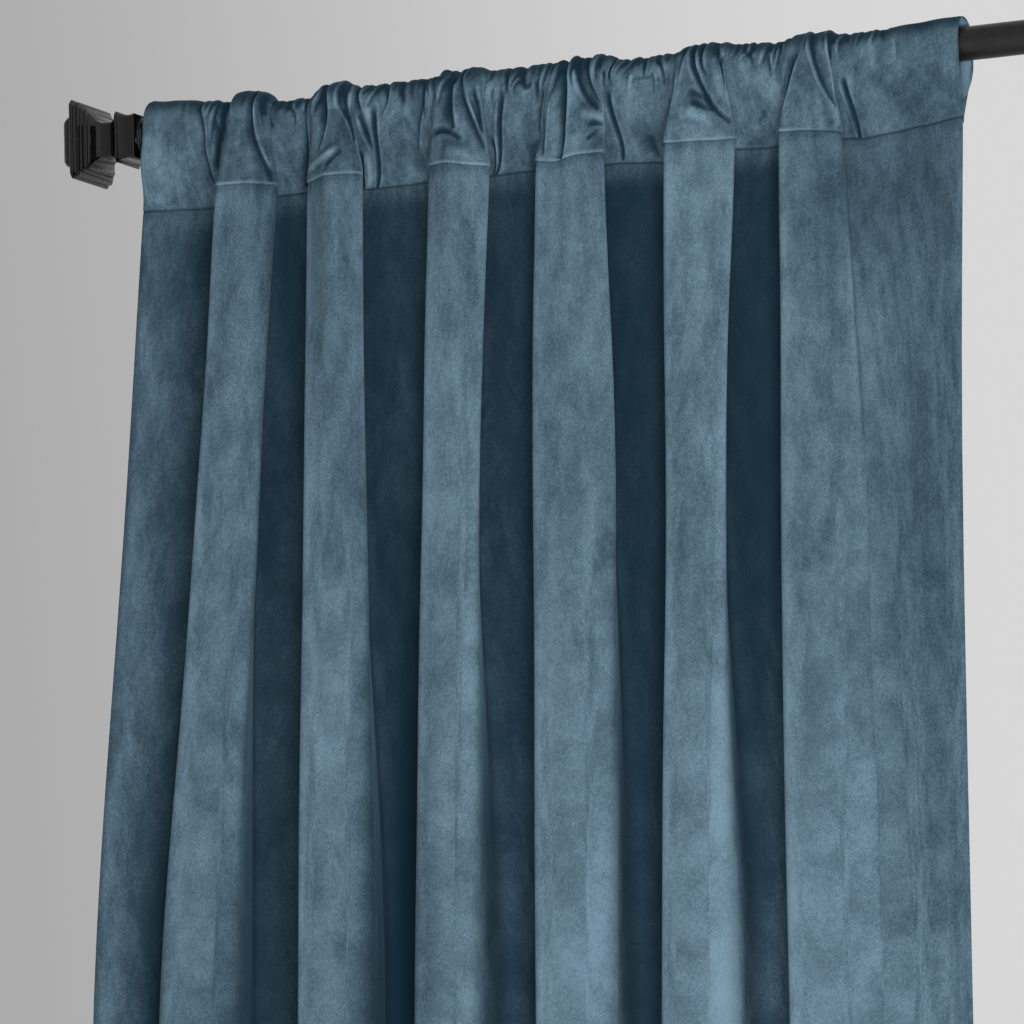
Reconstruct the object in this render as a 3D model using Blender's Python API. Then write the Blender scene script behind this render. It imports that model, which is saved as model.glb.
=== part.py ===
"""Velvet rod-pocket curtain panel gathered on a round steel rod with square stepped finials.

Axes: X runs along the rod, +Y goes to the wall, +Z is up. The origin is on the rod's axis at mid-length.
All sizes below are millimetres. Places along X are counted from the panel's left edge at its seam.
"""
import math
from collections import namedtuple

import bmesh
import bpy
from mathutils import Vector

METRES = 0.001

# Rod: a 1 in steel tube, 36 in long.
ROD_DIAMETER = 25.4
ROD_WALL = 1.2
ROD_LENGTH = 914.4
ROD_SIDES = 40
ROD_END_X = 2.0                 # the tube's left end, beside the panel's left edge

# Cloth: a 50 x 84 in panel of cotton velvet.
CLOTH = 2.0                     # thickness with its pile
FLAT_WIDTH = 1270.0
DROP = 2134.0                   # from the top of the pocket to the hem
POCKET_TOP_Z = 19.0
SEAM_Z = -57.0                  # the stitched seam under the rod
HEM_Z = POCKET_TOP_Z - DROP
ROD_CLEARANCE = 0.45            # from the tube to the cloth where it lies on it
TURNED_EDGE = 4.5               # how far the pocket's back layer reaches below the seam
TURNED_THICKNESS = 1.4          # how far that edge stands proud of the panel's back

# One row per fold at the seam: feet of its two walls and the edges and middle of its front.
SeamFold = namedtuple("SeamFold", "foot foot_y left left_y mid mid_y right right_y out out_y")
SEAM_FOLDS = (
    SeamFold(82, 9, 85, -51, 109, -52, 128, -35, 123, -4),
    SeamFold(150, 2, 153, -31, 176, -48, 204, -43, 191, 2),
    SeamFold(250, 4, 260, -41, 277, -47, 304, -30, 295, 3),
    SeamFold(338, 4, 340, -24, 367, -28, 396, -26, 388, 9),
    SeamFold(445, 12, 448, -31, 474, -27, 501, -22, 497, 6),
    SeamFold(537, 15, 539, -27, 561, -23, 583, -12, 580, 8),
)

# One row per fold further down: front edges and front depth, 243 mm and 643 mm below the seam.
LowerFold = namedtuple("LowerFold", "left_a right_a front_a left_b right_b front_b")
LOWER_FOLDS = (
    LowerFold(65, 118, -46, 36, 102, -45),
    LowerFold(154, 205, -40, 146, 205, -40),
    LowerFold(252, 299, -40, 243, 290, -41),
    LowerFold(338, 404, -29, 340, 397, -34),
    LowerFold(445, 495, -29, 440, 492, -33),
    LowerFold(537, 596, -27, 539, 600, -29),
)

# One row per fold at the rod: the narrow gathered front, its reach from the axis and its hump on top.
RodFold = namedtuple("RodFold", "left right reach hump")
ROD_FOLDS = (
    RodFold(77, 112, 29, 27),
    RodFold(149, 181, 26, 26),
    RodFold(252, 288, 27, 24.5),
    RodFold(357, 393, 22, 23.5),
    RodFold(451, 482, 24, 22.5),
    RodFold(534, 569, 22, 21.5),
)

# The panel's two edges at the seam and at the two lower levels: places across the free ends.
End = namedtuple("End", "edge edge_y inner inner_y")
LEFT_ENDS = (End(-2, 1, 44, 8), End(-21, 3, 28, 12), End(-47, 3, -4, 12))
RIGHT_ENDS = (End(681, -9, 634, 1), End(674, -10, 650, -13), End(674, -8, 650, -12))

# Levels down the hanging cloth, each with the radius that its folds are rounded to.
LEVELS_Z = (SEAM_Z, -300.0, -700.0, HEM_Z)
FOLD_RADII = (6.0, 11.0, 16.0, 20.0)
HEM_SPREAD = 1.03               # the hem's width against the level above it
DEEPEST_VALLEY = 45.0           # the valleys between lower folds are fitted up to this
FITTING_STEPS = 30
WALL_LEAN_A = 4.0               # how far a fold's right wall leans outwards, upper level
WALL_LEAN_B = 9.0               # and lower level
FRONT_CROWN = 4.0               # how far a lower front bulges at its middle
LAST_OUT_Y = -20.0              # the last fold opens into the panel's nearly flat right end
LAST_LEAN = 20.0                # and leans out this far
SEAM_SAG = 1.6                  # how much lower the seam hangs where the cloth is set back
SET_FORWARD = 30.0              # how far forward the cloth is where it doesn't sag

# Rows of the mesh.
PANEL_ROWS_Z = (HEM_Z, -1830.0, -1540.0, -1250.0, -970.0, -700.0, -540.0, -400.0, -290.0, -200.0, -120.0)
UNDER_ROD_STEPS = 3             # rows from the rod's level down to the seam, on each side
OVER_ROD_STEPS = 6              # rows over the rod, 30 degrees each

# Gathers on the rod.
ROD_EDGES_X = (5.4, 680.0)      # the panel's two edges where they pass the rod
GATHER_HEIGHT = 4.2             # of one small gather, crest to trough
BUNCH_WIDTH = 9.0               # a wall's width on the rod, where its cloth is bunched
CORNER_SHARE = 0.2              # of the space between two knots, what a rounded corner takes on the rod
FOLD_FLAT = 9.0                 # a fold's hump is full this far from its middle
FOLD_FADE = 16.0                # and has faded out over this much more
ROD_LEVEL_SPREAD = 0.3          # how far the folds have widened from the rod's top down to its axis
HOLD = 0.24                     # share of the way down on which set-back cloth still follows the rod

# Height of the cloth's top line between the folds, along the rod.
TopMark = namedtuple("TopMark", "x height")
TOP_LINE = (TopMark(0, 26.5), TopMark(30, 24), TopMark(60, 21), TopMark(120, 17.5), TopMark(204, 20),
            TopMark(310, 20), TopMark(420, 18.5), TopMark(533, 17.5), TopMark(600, 18.5), TopMark(681, 20.5))

# Finial: one row per station from its outer end to the rod, with the half side of its square.
Station = namedtuple("Station", "x half")
FINIAL_STATIONS = (
    Station(-65.5, 14.0), Station(-64.5, 15.6), Station(-59.5, 19.6), Station(-57.0, 20.0),
    Station(-52.5, 29.6), Station(-51.5, 30.6), Station(-48.5, 30.6), Station(-47.5, 29.6),
    Station(-47.0, 26.6), Station(-44.8, 25.6), Station(-44.0, 22.8), Station(-41.4, 21.6),
    Station(-40.0, 18.0), Station(-37.0, 14.6), Station(-34.5, 13.4), Station(-24.5, 13.4),
    Station(-21.5, 15.0), Station(-18.2, 19.0), Station(-17.4, 19.6), Station(-15.4, 19.6),
    Station(-14.6, 17.8), Station(-4.0, 16.6), Station(-3.0, 15.8),
)
FINIAL_CORNER = 0.06            # chamfer of the square's corners, as a share of its half side
RING_DIAMETER = 29.4
RING_END_GAP = 0.3              # between the ring and the tube's end
SPIGOT_DIAMETER = ROD_DIAMETER - 2 * ROD_WALL - 0.6
SPIGOT_LENGTH = 22.0
RING_SIDES = 32

VELVET = ("velvet", (0.085, 0.160, 0.225), 0.85, 0.0)
BLACK_METAL = ("black_metal", (0.016, 0.014, 0.014), 0.32, 0.7)


# ---------------------------------------------------------------- levels and plan paths

def seam_knots():
    """Corners of the cloth's path along the seam, seen from above."""
    left, right = LEFT_ENDS[0], RIGHT_ENDS[0]
    knots = [(left.edge, left.edge_y), (left.inner, left.inner_y)]
    for fold in SEAM_FOLDS:
        knots += [(fold.foot, fold.foot_y), (fold.left, fold.left_y), (fold.mid, fold.mid_y),
                  (fold.right, fold.right_y), (fold.out, fold.out_y)]
    return knots + [(right.inner, right.inner_y), (right.edge, right.edge_y)]


def lower_knots(level, valley_y):
    """The same corners further down, with the valleys between the folds at valley_y."""
    left, right = LEFT_ENDS[level], RIGHT_ENDS[level]
    lean = (WALL_LEAN_A, WALL_LEAN_B)[level - 1]
    knots = [(left.edge, left.edge_y), (left.inner, left.inner_y)]
    for row in LOWER_FOLDS:
        x0, x1, front = row[3 * level - 3:3 * level]
        out = (x1 + LAST_LEAN, LAST_OUT_Y) if row is LOWER_FOLDS[-1] else (x1 + lean, valley_y)
        knots += [(x0 + lean, valley_y), (x0, front), ((x0 + x1) / 2, front - FRONT_CROWN),
                  (x1, front + FRONT_CROWN), out]
    return knots + [(right.inner, right.inner_y), (right.edge, right.edge_y)]


def path_length(knots, radius):
    """Length of a level's path with its corners rounded."""
    points = [column_point(knots, column, radius) for column in columns()]
    return sum(math.dist(a, b) for a, b in zip(points, points[1:]))


def fitted_lower_knots(level):
    """Sets the valleys as deep as the cloth's flat width makes them."""
    shallow, deep = 0.0, DEEPEST_VALLEY
    for _ in range(FITTING_STEPS):
        middle = (shallow + deep) / 2
        if path_length(lower_knots(level, middle), FOLD_RADII[level]) < FLAT_WIDTH:
            shallow = middle
        else:
            deep = middle
    return lower_knots(level, shallow)


def hem_knots(above):
    """The hem repeats the level above it, a little wider."""
    middle = sum(x for x, _ in above) / len(above)
    return [(middle + (x - middle) * HEM_SPREAD, y) for x, y in above]


def smooth_between(places, values, place):
    """Cubic interpolation of values that are known at a few descending places."""
    count = len(places)
    slopes = []
    for i in range(count):
        a, b = max(i - 1, 0), min(i + 1, count - 1)
        slopes.append((values[b] - values[a]) / (places[b] - places[a]))
    i = 0
    while i < count - 2 and place < places[i + 1]:
        i += 1
    step = places[i + 1] - places[i]
    t = (place - places[i]) / step
    return ((2 * t ** 3 - 3 * t ** 2 + 1) * values[i] + (t ** 3 - 2 * t ** 2 + t) * step * slopes[i]
            + (3 * t ** 2 - 2 * t ** 3) * values[i + 1] + (t ** 3 - t ** 2) * step * slopes[i + 1])


def level_knots():
    upper, lower = fitted_lower_knots(1), fitted_lower_knots(2)
    return seam_knots(), upper, lower, hem_knots(lower)


# ---------------------------------------------------------------- columns of the cloth

# A column is a thread down the cloth. It stands at a knot (turn from -1 to 1 through the rounded corner)
# or on the straight stretch after it (turn None, share along the stretch).
Column = namedtuple("Column", "knot turn share")
CORNER_TURNS = {"foot": (-1, 1), "left": (-1, 0, 1), "mid": (0,), "right": (-1, 0, 1), "out": (-1, 1)}
KNOTS_PER_FOLD = ("foot", "left", "mid", "right", "out")
END_KNOTS = 2                   # knots before the first fold, and after the last


def columns():
    listed = [Column(0, 0, 0.0), Column(0, None, 0.5), Column(1, -1, 0.0), Column(1, 1, 0.0),
              Column(1, None, 0.5)]
    folds = len(SEAM_FOLDS)
    for i in range(folds):
        for k, name in enumerate(KNOTS_PER_FOLD):
            knot = END_KNOTS + i * len(KNOTS_PER_FOLD) + k
            listed += [Column(knot, turn, 0.0) for turn in CORNER_TURNS[name]]
            if name in ("foot", "right"):
                listed.append(Column(knot, None, 0.5))
            if name == "out":
                listed += [Column(knot, None, share) for share in (0.33, 0.67)]
    last = END_KNOTS + folds * len(KNOTS_PER_FOLD)
    listed += [Column(last, -1, 0.0), Column(last, 1, 0.0), Column(last, None, 0.5), Column(last + 1, 0, 0.0)]
    return listed


def corner_reach(knots, k, radius):
    """How far the rounding of corner k runs along each of its two sides."""
    if k in (0, len(knots) - 1):
        return 0.0
    before, after = math.dist(knots[k - 1], knots[k]), math.dist(knots[k], knots[k + 1])
    return min(radius, 0.45 * before, 0.45 * after)


def toward(a, b, distance):
    length = math.dist(a, b)
    return a[0] + (b[0] - a[0]) * distance / length, a[1] + (b[1] - a[1]) * distance / length


def column_point(knots, column, radius):
    """Where a column stands on one level's path."""
    k = column.knot
    here = knots[k]
    reach = corner_reach(knots, k, radius)
    if column.turn is None:
        start = toward(here, knots[k + 1], reach)
        stop = toward(knots[k + 1], here, corner_reach(knots, k + 1, radius))
        return tuple(a + (b - a) * column.share for a, b in zip(start, stop))
    if reach == 0.0:
        return here
    before, after = toward(here, knots[k - 1], reach), toward(here, knots[k + 1], reach)
    t = (column.turn + 1) / 2
    return tuple(a * (1 - t) ** 2 + 2 * b * t * (1 - t) + c * t * t for a, b, c in zip(before, here, after))


# ---------------------------------------------------------------- the pocket around the rod

RodColumn = namedtuple("RodColumn", "x front top back")
SNUG = (ROD_DIAMETER / 2 + ROD_CLEARANCE) / math.cos(math.pi / OVER_ROD_STEPS / 2) + CLOTH / 2


def top_line(x):
    marks = TOP_LINE
    i = 0
    while i < len(marks) - 2 and x > marks[i + 1].x:
        i += 1
    a, b = marks[i], marks[i + 1]
    return a.height + (b.height - a.height) * ease((x - a.x) / (b.x - a.x))


def rod_columns(listed):
    """Each column where it passes the rod: its place and its reach to the front, top and back."""
    knot_x = rod_knot_x()
    result = []
    for gathers, column in enumerate(listed):
        x = rod_x(knot_x, column)
        from_edge = min(x - knot_x[0], knot_x[-1] - x)
        lively = min(1.0, 0.1 + from_edge / 80.0) * (0.8 + 0.2 * math.sin(2.3 * gathers))
        crest = GATHER_HEIGHT * lively * (gathers % 2)
        trough = GATHER_HEIGHT * lively - crest
        front, top = SNUG + crest, max(SNUG, top_line(x) - CLOTH / 2 - trough)
        for row in ROD_FOLDS:
            off = abs(x - (row.left + row.right) / 2)
            swell = ease((FOLD_FLAT + FOLD_FADE - off) / FOLD_FADE)
            front += (row.reach - CLOTH / 2 - front) * swell
            top += (row.hump - CLOTH / 2 - 0.25 * trough - top) * swell
        result.append(RodColumn(x, front, top, SNUG + trough))
    return result


def fold_of(knot):
    """The fold that a knot belongs to, and the knot's name in it."""
    index = knot - END_KNOTS
    if index < 0:
        return 0, "end"
    fold, k = divmod(index, len(KNOTS_PER_FOLD))
    if fold >= len(SEAM_FOLDS):
        return len(SEAM_FOLDS) - 1, "end"
    return fold, KNOTS_PER_FOLD[k]


def rod_knot_x():
    """Places of all knots along the rod."""
    places = [ROD_EDGES_X[0], 0.45 * ROD_FOLDS[0].left]
    for row in ROD_FOLDS:
        middle = (row.left + row.right) / 2
        places += [row.left - BUNCH_WIDTH, row.left, middle, row.right, row.right + BUNCH_WIDTH]
    return places + [RIGHT_ENDS[0].inner, ROD_EDGES_X[1]]


def rod_x(knot_x, column):
    """Spreads the columns evenly between their knots on the rod."""
    k = column.knot
    if column.turn is None:
        low, high = rod_stretch(knot_x, k)
        return low + (high - low) * column.share
    if column.turn == 0 or k in (0, len(knot_x) - 1):
        return knot_x[k]
    low, high = rod_stretch(knot_x, k if column.turn > 0 else k - 1)
    return low if column.turn > 0 else high


def rod_stretch(knot_x, k):
    gap = knot_x[k + 1] - knot_x[k]
    return knot_x[k] + CORNER_SHARE * gap, knot_x[k + 1] - CORNER_SHARE * gap


def ease(t):
    t = min(max(t, 0.0), 1.0)
    return t * t * (3 - 2 * t)


def pocket_row(seam, rod, down, side):
    """A point of the pocket's front (side -1) or back (side 1) layer, down = 0 at the rod, 1 at the seam."""
    seam_x, seam_y, seam_z = seam
    reach = rod.front if side < 0 else rod.back
    slack = ease((down - HOLD) / (1 - HOLD))
    if side < 0 and seam_y < -reach:
        slack = down
    across = ROD_LEVEL_SPREAD + (1 - ROD_LEVEL_SPREAD) * down
    return (rod.x + (seam_x - rod.x) * across, side * reach * (1 - slack) + seam_y * slack, seam_z * down)


def over_rod(seam, rod, angle):
    """A point on the cloth above the rod's level, angle 0 at the front and pi at the back."""
    side = rod.front if angle < math.pi / 2 else rod.back
    reach = side * math.cos(angle) ** 2 + rod.top * math.sin(angle) ** 2
    across = ROD_LEVEL_SPREAD * math.cos(angle) ** 2
    return rod.x + (seam[0] - rod.x) * across, -reach * math.cos(angle), reach * math.sin(angle)


def pocket_loop(seam, rod):
    """The pocket's middle surface in one column: up the front, over the rod and down the back to the seam."""
    steps = UNDER_ROD_STEPS
    up = [pocket_row(seam, rod, 1 - i / steps, -1) for i in range(steps)]
    over = [over_rod(seam, rod, math.pi * i / OVER_ROD_STEPS) for i in range(OVER_ROD_STEPS + 1)]
    down = [pocket_row(seam, rod, (i + 1) / steps, 1) for i in range(steps)]
    return up + over + down


# ---------------------------------------------------------------- the panel's solid

def grid_normals(grid):
    """Unit normals of a grid of points, by columns and rows."""
    columns_n, rows_n = len(grid), len(grid[0])
    normals = []
    for c in range(columns_n):
        line = []
        for r in range(rows_n):
            along = Vector(grid[min(c + 1, columns_n - 1)][r]) - Vector(grid[max(c - 1, 0)][r])
            up = Vector(grid[c][min(r + 1, rows_n - 1)]) - Vector(grid[c][max(r - 1, 0)])
            line.append(along.cross(up).normalized())
        normals.append(line)
    return normals


def offset_grid(grid, normals, distance):
    """The grid moved along its normals."""
    return [[Vector(p) + n * distance for p, n in zip(points, line)] for points, line in zip(grid, normals)]


def sheet_grids(listed):
    """The hanging sheet and the pocket, as grids of middle-surface points."""
    levels = level_knots()
    rods = rod_columns(listed)
    sheet, pocket = [], []
    for column, rod in zip(listed, rods):
        marks = [column_point(knots, column, radius) for knots, radius in zip(levels, FOLD_RADII)]
        xs, ys = zip(*marks)
        line = [(smooth_between(LEVELS_Z, xs, z), smooth_between(LEVELS_Z, ys, z), z) for z in PANEL_ROWS_Z]
        seam = (*marks[0], SEAM_Z - SEAM_SAG * (1 - ease(-marks[0][1] / SET_FORWARD)))
        below = (smooth_between(LEVELS_Z, xs, SEAM_Z - TURNED_EDGE),
                 smooth_between(LEVELS_Z, ys, SEAM_Z - TURNED_EDGE), seam[2] - TURNED_EDGE)
        sheet.append(line + [below, seam])
        pocket.append(pocket_loop(seam, rod))
    return sheet, pocket


def cloth_loops():
    """For each column, the outer loop of points and the loop around the rod's tunnel."""
    listed = columns()
    sheet, pocket = sheet_grids(listed)
    sheet_normals, pocket_normals = grid_normals(sheet), grid_normals(pocket)
    half = CLOTH / 2
    # The rows run upwards, so the normals point to the viewer's side (-Y) on the front.
    front, back = offset_grid(sheet, sheet_normals, half), offset_grid(sheet, sheet_normals, -half)
    outer, inner = offset_grid(pocket, pocket_normals, half), offset_grid(pocket, pocket_normals, -half)
    loops = []
    for c in range(len(listed)):
        turned = [Vector(sheet[c][r]) - sheet_normals[c][r] * (half + TURNED_THICKNESS) for r in (-1, -2)]
        outside = front[c] + outer[c][1:-1] + turned + back[c][-2::-1]
        seam_inside = Vector(sheet[c][-1]) + Vector((0, 0, CLOTH * 0.75))
        tunnel = [seam_inside] + inner[c][1:-1]
        loops.append((outside, tunnel))
    return loops


def curtain_mesh(name):
    loops = cloth_loops()
    bm = bmesh.new()

    def add(points):
        return [bm.verts.new((p + Vector((-(ROD_END_X + ROD_LENGTH / 2), 0, 0))) * METRES) for p in points]

    rings = [(add(outside), add(tunnel)) for outside, tunnel in loops]
    for (outside_a, tunnel_a), (outside_b, tunnel_b) in zip(rings, rings[1:]):
        for ring_a, ring_b in ((outside_a, outside_b), (tunnel_b, tunnel_a)):
            for i in range(len(ring_a)):
                j = (i + 1) % len(ring_a)
                bm.faces.new((ring_a[i], ring_b[i], ring_b[j], ring_a[j]))
    rows = len(PANEL_ROWS_Z) + 2
    for (outside, tunnel), first in ((rings[0], True), (rings[-1], False)):
        for face in end_faces(outside, tunnel, rows):
            bm.faces.new(face if first else face[::-1])
    bmesh.ops.recalc_face_normals(bm, faces=bm.faces)
    mesh = bpy.data.meshes.new(name)
    bm.to_mesh(mesh)
    bm.free()
    return mesh


def end_faces(outside, tunnel, rows):
    """The cloth's cut edge at one side: the hanging sheet, the turned edge and the pocket's ring."""
    total = len(outside)
    seam = rows - 1
    faces = []
    for j in range(seam - 1):
        faces.append((outside[j], outside[j + 1], outside[total - 2 - j], outside[total - 1 - j]))
    turned_low = total - 1 - seam
    turned_top = turned_low - 1
    back_under = turned_low + 1
    faces.append((outside[seam - 1], outside[turned_low], outside[back_under]))
    faces.append((outside[seam - 1], outside[seam], outside[turned_top], outside[turned_low]))
    faces.append((outside[seam], tunnel[0], outside[turned_top]))
    count = len(tunnel)
    for k in range(count):
        faces.append((outside[seam + k], outside[seam + k + 1], tunnel[(k + 1) % count], tunnel[k]))
    return faces


# ---------------------------------------------------------------- rod and finials

def material(name, colour, roughness, metallic):
    made = bpy.data.materials.new(name)
    made.use_nodes = True
    shader = made.node_tree.nodes["Principled BSDF"]
    shader.inputs["Base Color"].default_value = (*colour, 1.0)
    shader.inputs["Roughness"].default_value = roughness
    shader.inputs["Metallic"].default_value = metallic
    made.diffuse_color = (*colour, 1.0)
    return made


def add_object(name, mesh, finish):
    thing = bpy.data.objects.new(name, mesh)
    bpy.context.scene.collection.objects.link(thing)
    mesh.materials.append(material(f"{name}_{finish[0]}", *finish[1:]))
    mesh.shade_smooth()
    mesh.set_sharp_from_angle(angle=math.radians(35))
    return thing


def ring_points(x, radius, sides):
    turn = 2 * math.pi / sides
    return [(x * METRES, radius * math.cos(turn * i) * METRES, radius * math.sin(turn * i) * METRES)
            for i in range(sides)]


def square_points(x, half):
    """A square across the rod with small chamfers at its corners."""
    cut = half * (1 - FINIAL_CORNER)
    corners = ((half, -cut), (half, cut), (cut, half), (-cut, half),
               (-half, cut), (-half, -cut), (-cut, -half), (cut, -half))
    return [(x * METRES, y * METRES, z * METRES) for y, z in corners]


def lofted_mesh(name, sections, closed_loop=False):
    """A skin through sections of equal point counts, capped at its ends or joined into a ring."""
    bm = bmesh.new()
    rings = [[bm.verts.new(p) for p in section] for section in sections]
    pairs = list(zip(rings, rings[1:])) + ([(rings[-1], rings[0])] if closed_loop else [])
    for ring_a, ring_b in pairs:
        for i in range(len(ring_a)):
            j = (i + 1) % len(ring_a)
            bm.faces.new((ring_a[i], ring_a[j], ring_b[j], ring_b[i]))
    if not closed_loop:
        bm.faces.new(rings[0][::-1])
        bm.faces.new(rings[-1])
    bmesh.ops.recalc_face_normals(bm, faces=bm.faces)
    mesh = bpy.data.meshes.new(name)
    bm.to_mesh(mesh)
    bm.free()
    return mesh


def build_rod():
    half, outer, inner = ROD_LENGTH / 2, ROD_DIAMETER / 2, ROD_DIAMETER / 2 - ROD_WALL
    sections = [ring_points(x, r, ROD_SIDES) for x, r in
                ((-half, outer), (half, outer), (half, inner), (-half, inner))]
    return add_object("curtain_rod", lofted_mesh("curtain_rod", sections, closed_loop=True), BLACK_METAL)


def finial_head_mesh(name, mirror):
    """The square stepped head, from its outer end to the block beside the ring."""
    shift = -ROD_LENGTH / 2 - ROD_END_X
    sections = [square_points(mirror * (station.x + shift), station.half) for station in FINIAL_STATIONS]
    return lofted_mesh(name, sections)


def finial_ring_mesh(name, mirror):
    """The round ring and the spigot that plugs into the tube; its first part lies inside the head."""
    tube_end = -ROD_LENGTH / 2
    inside_head = tube_end - ROD_END_X + FINIAL_STATIONS[-1].x - 4.0
    ring_end = tube_end - RING_END_GAP
    ring, spigot = RING_DIAMETER / 2, SPIGOT_DIAMETER / 2
    profile = ((inside_head, ring), (ring_end - 0.6, ring), (ring_end, ring - 0.6), (ring_end, spigot),
               (tube_end + SPIGOT_LENGTH - 1.0, spigot), (tube_end + SPIGOT_LENGTH, spigot - 1.0))
    return lofted_mesh(name, [ring_points(mirror * x, r, RING_SIDES) for x, r in profile])


def build_finial(name, mirror):
    head = add_object(name, finial_head_mesh(name, mirror), BLACK_METAL)
    ring = bpy.data.objects.new(name + "_ring_cutter", finial_ring_mesh(name + "_ring", mirror))
    bpy.context.scene.collection.objects.link(ring)
    ring.hide_render = True
    ring.display_type = "WIRE"
    join = head.modifiers.new("ring", "BOOLEAN")
    join.operation = "UNION"
    join.solver = "EXACT"
    join.object = ring
    return head


def build_curtain():
    return add_object("curtain_panel", curtain_mesh("curtain_panel"), VELVET)


def clear_scene():
    for thing in list(bpy.data.objects):
        bpy.data.objects.remove(thing, do_unlink=True)


def main():
    clear_scene()
    build_curtain()
    build_rod()
    build_finial("finial_left", 1)
    build_finial("finial_right", -1)


main()
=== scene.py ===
"""Looks of a velvet rod-pocket curtain panel gathered on a round rod with square stepped finials.

Axes as in the part: X runs along the rod, +Y goes to the wall, +Z is up. Sizes are millimetres, and
places along X are counted from the panel's left edge at its seam. The folds' tables start from the part's
own, fitted more closely. A "cloth height" is measured along the cloth: it is the height below the rod's
axis, and it goes on growing over the rod and down behind it.
"""
import math
from collections import namedtuple

import bmesh
import bpy
import numpy as np
from mathutils import Matrix, Vector


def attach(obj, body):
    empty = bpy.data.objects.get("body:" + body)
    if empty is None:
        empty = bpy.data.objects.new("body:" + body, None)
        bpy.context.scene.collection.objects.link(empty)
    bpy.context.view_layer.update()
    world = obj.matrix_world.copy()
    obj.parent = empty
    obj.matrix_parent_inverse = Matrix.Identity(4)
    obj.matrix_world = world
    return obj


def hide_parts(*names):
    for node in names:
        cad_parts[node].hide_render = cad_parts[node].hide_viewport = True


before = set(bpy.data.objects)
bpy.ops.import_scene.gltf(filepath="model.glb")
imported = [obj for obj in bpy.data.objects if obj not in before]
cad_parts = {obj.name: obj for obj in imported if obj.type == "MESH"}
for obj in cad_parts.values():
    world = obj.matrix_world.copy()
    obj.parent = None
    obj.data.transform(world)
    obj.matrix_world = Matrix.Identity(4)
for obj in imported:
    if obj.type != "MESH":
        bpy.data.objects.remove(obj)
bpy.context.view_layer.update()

METRES = 0.001


def table(kind, *rows):
    """A table's rows, each as a record of one kind."""
    return tuple(kind(*row) for row in rows)


# ---------------------------------------------------------------- rod, cloth and folds

ROD_DIAMETER = 25.4
ROD_LENGTH = 914.4
ROD_END_X = 2.0
CLOTH = 2.0
FLAT_WIDTH = 1270.0
DROP = 2134.0
POCKET_TOP_Z = 19.0
SEAM_Z = -57.0
HEM_Z = POCKET_TOP_Z - DROP
ROD_CLEARANCE = 0.45
TURNED_EDGE = 4.5
TURNED_THICKNESS = 1.4
ORIGIN_X = ROD_END_X + ROD_LENGTH / 2

SeamFold = namedtuple("SeamFold", "foot foot_y left left_y mid mid_y right right_y out out_y")
SEAM_FOLDS = table(SeamFold,
    (82, 9, 85, -51, 109, -52, 128, -35, 123, -4),
    (150, 2, 153, -31, 176, -48, 204, -43, 191, 2),
    (250, 4, 260, -41, 277, -47, 304, -30, 295, 3),
    (338, 4, 340, -24, 367, -28, 396, -26, 388, 9),
    (445, 12, 448, -31, 474, -27, 501, -22, 497, 6),
    (537, 15, 539, -27, 561, -23, 583, -12, 580, 8),
)
LowerFold = namedtuple("LowerFold", "left_a right_a front_a left_b right_b front_b")
LOWER_FOLDS = table(LowerFold,
    (65, 118, -46, 36, 96, -45),
    (154, 205, -40, 146, 205, -40),
    (252, 299, -40, 243, 290, -41),
    (338, 404, -29, 340, 397, -34),
    (445, 495, -29, 440, 492, -33),
    (537, 596, -27, 539, 600, -29),
)
RodFold = namedtuple("RodFold", "left right reach hump rise")
ROD_FOLDS = table(RodFold,
    (81, 106, 29, 27, 7),
    (155, 177, 26, 26.5, 14),
    (254, 288, 27, 25, 8),
    (359, 394, 22, 24, 14),
    (456, 488, 24, 23, 8),
    (548, 575, 22, 22, 18),
)
End = namedtuple("End", "edge edge_y inner inner_y")
LEFT_ENDS = table(End, (-2, -3, 44, 7), (-21, 3, 28, 12), (-47, 3, -4, 12))
RIGHT_ENDS = table(End, (678, -9, 634, 1), (674, -10, 650, -13), (674, -8, 650, -12))
LEVELS_Z = (SEAM_Z, -300.0, -700.0, HEM_Z)
LEFT_RADII = (3.5, 4.5, 6.0, 8.0)               # of the folds' left edges, at each level
RIGHT_RADII = (4.0, 7.0, 15.0, 18.0)            # and of their right edges and of the valleys beside them
CORNER_SHARE = 0.45             # a corner takes no more than this share of the stretch beside it
HEM_SPREAD = 1.03
DEEPEST_VALLEY = 45.0
FITTING_STEPS = 30
LEFT_LEANS = (4.0, 9.0)         # how far the folds' left walls lean in, at the two middle levels
FIRST_LEFT_LEAN = -30.0         # and the first fold's at the lower of them
RIGHT_LEANS = (                 # how far their right walls lean out there, as shares of the folds' depth
    (-0.54,) * 6, (-0.20, -0.12, 0.10, 0.16, 0.16, 0.0))
FRONT_CROWN = 3.0
RIGHT_DROP = 1.5
TUCK = 0.50                     # at the seam the right walls lean in by this share of the depth
LAST_SOFTER = 1.4               # below the seam the last fold's right edge is rounder than the others
LAST_LEAN, LAST_OUT_Y = (10.0, 22.0), (-15.0, -20.0)    # and its wall ends here, at the two middle levels
SEAM_SAG, SAG_FADE = 1.6, 80.0  # of the stitches between the folds, and the distance over which it ends
SeamDip = namedtuple("SeamDip", "x wide depth front")
SEAM_DIPS = table(SeamDip,      # where the seam runs lower, on a fold's front (1) or in a valley (0)
    (137, 20, -1.5, 0), (302, 16, 2.5, 1), (357, 15, 3.5, 1),
    (434, 22, 3.0, 0), (600, 25, 2.0, 0), (684, 34, -2.2, 0),
)
DIP_FRONT_Y, DIP_FRONT_FADE = -14.0, 6.0        # where the fronts begin
SEAM_WAVER, SEAM_WAVER_LENGTH, WAVER_SEED = 0.30, 26.0, 31      # and all along it a little
SET_FORWARD = 30.0              # the seam doesn't sag where the cloth stands this far forward
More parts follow.
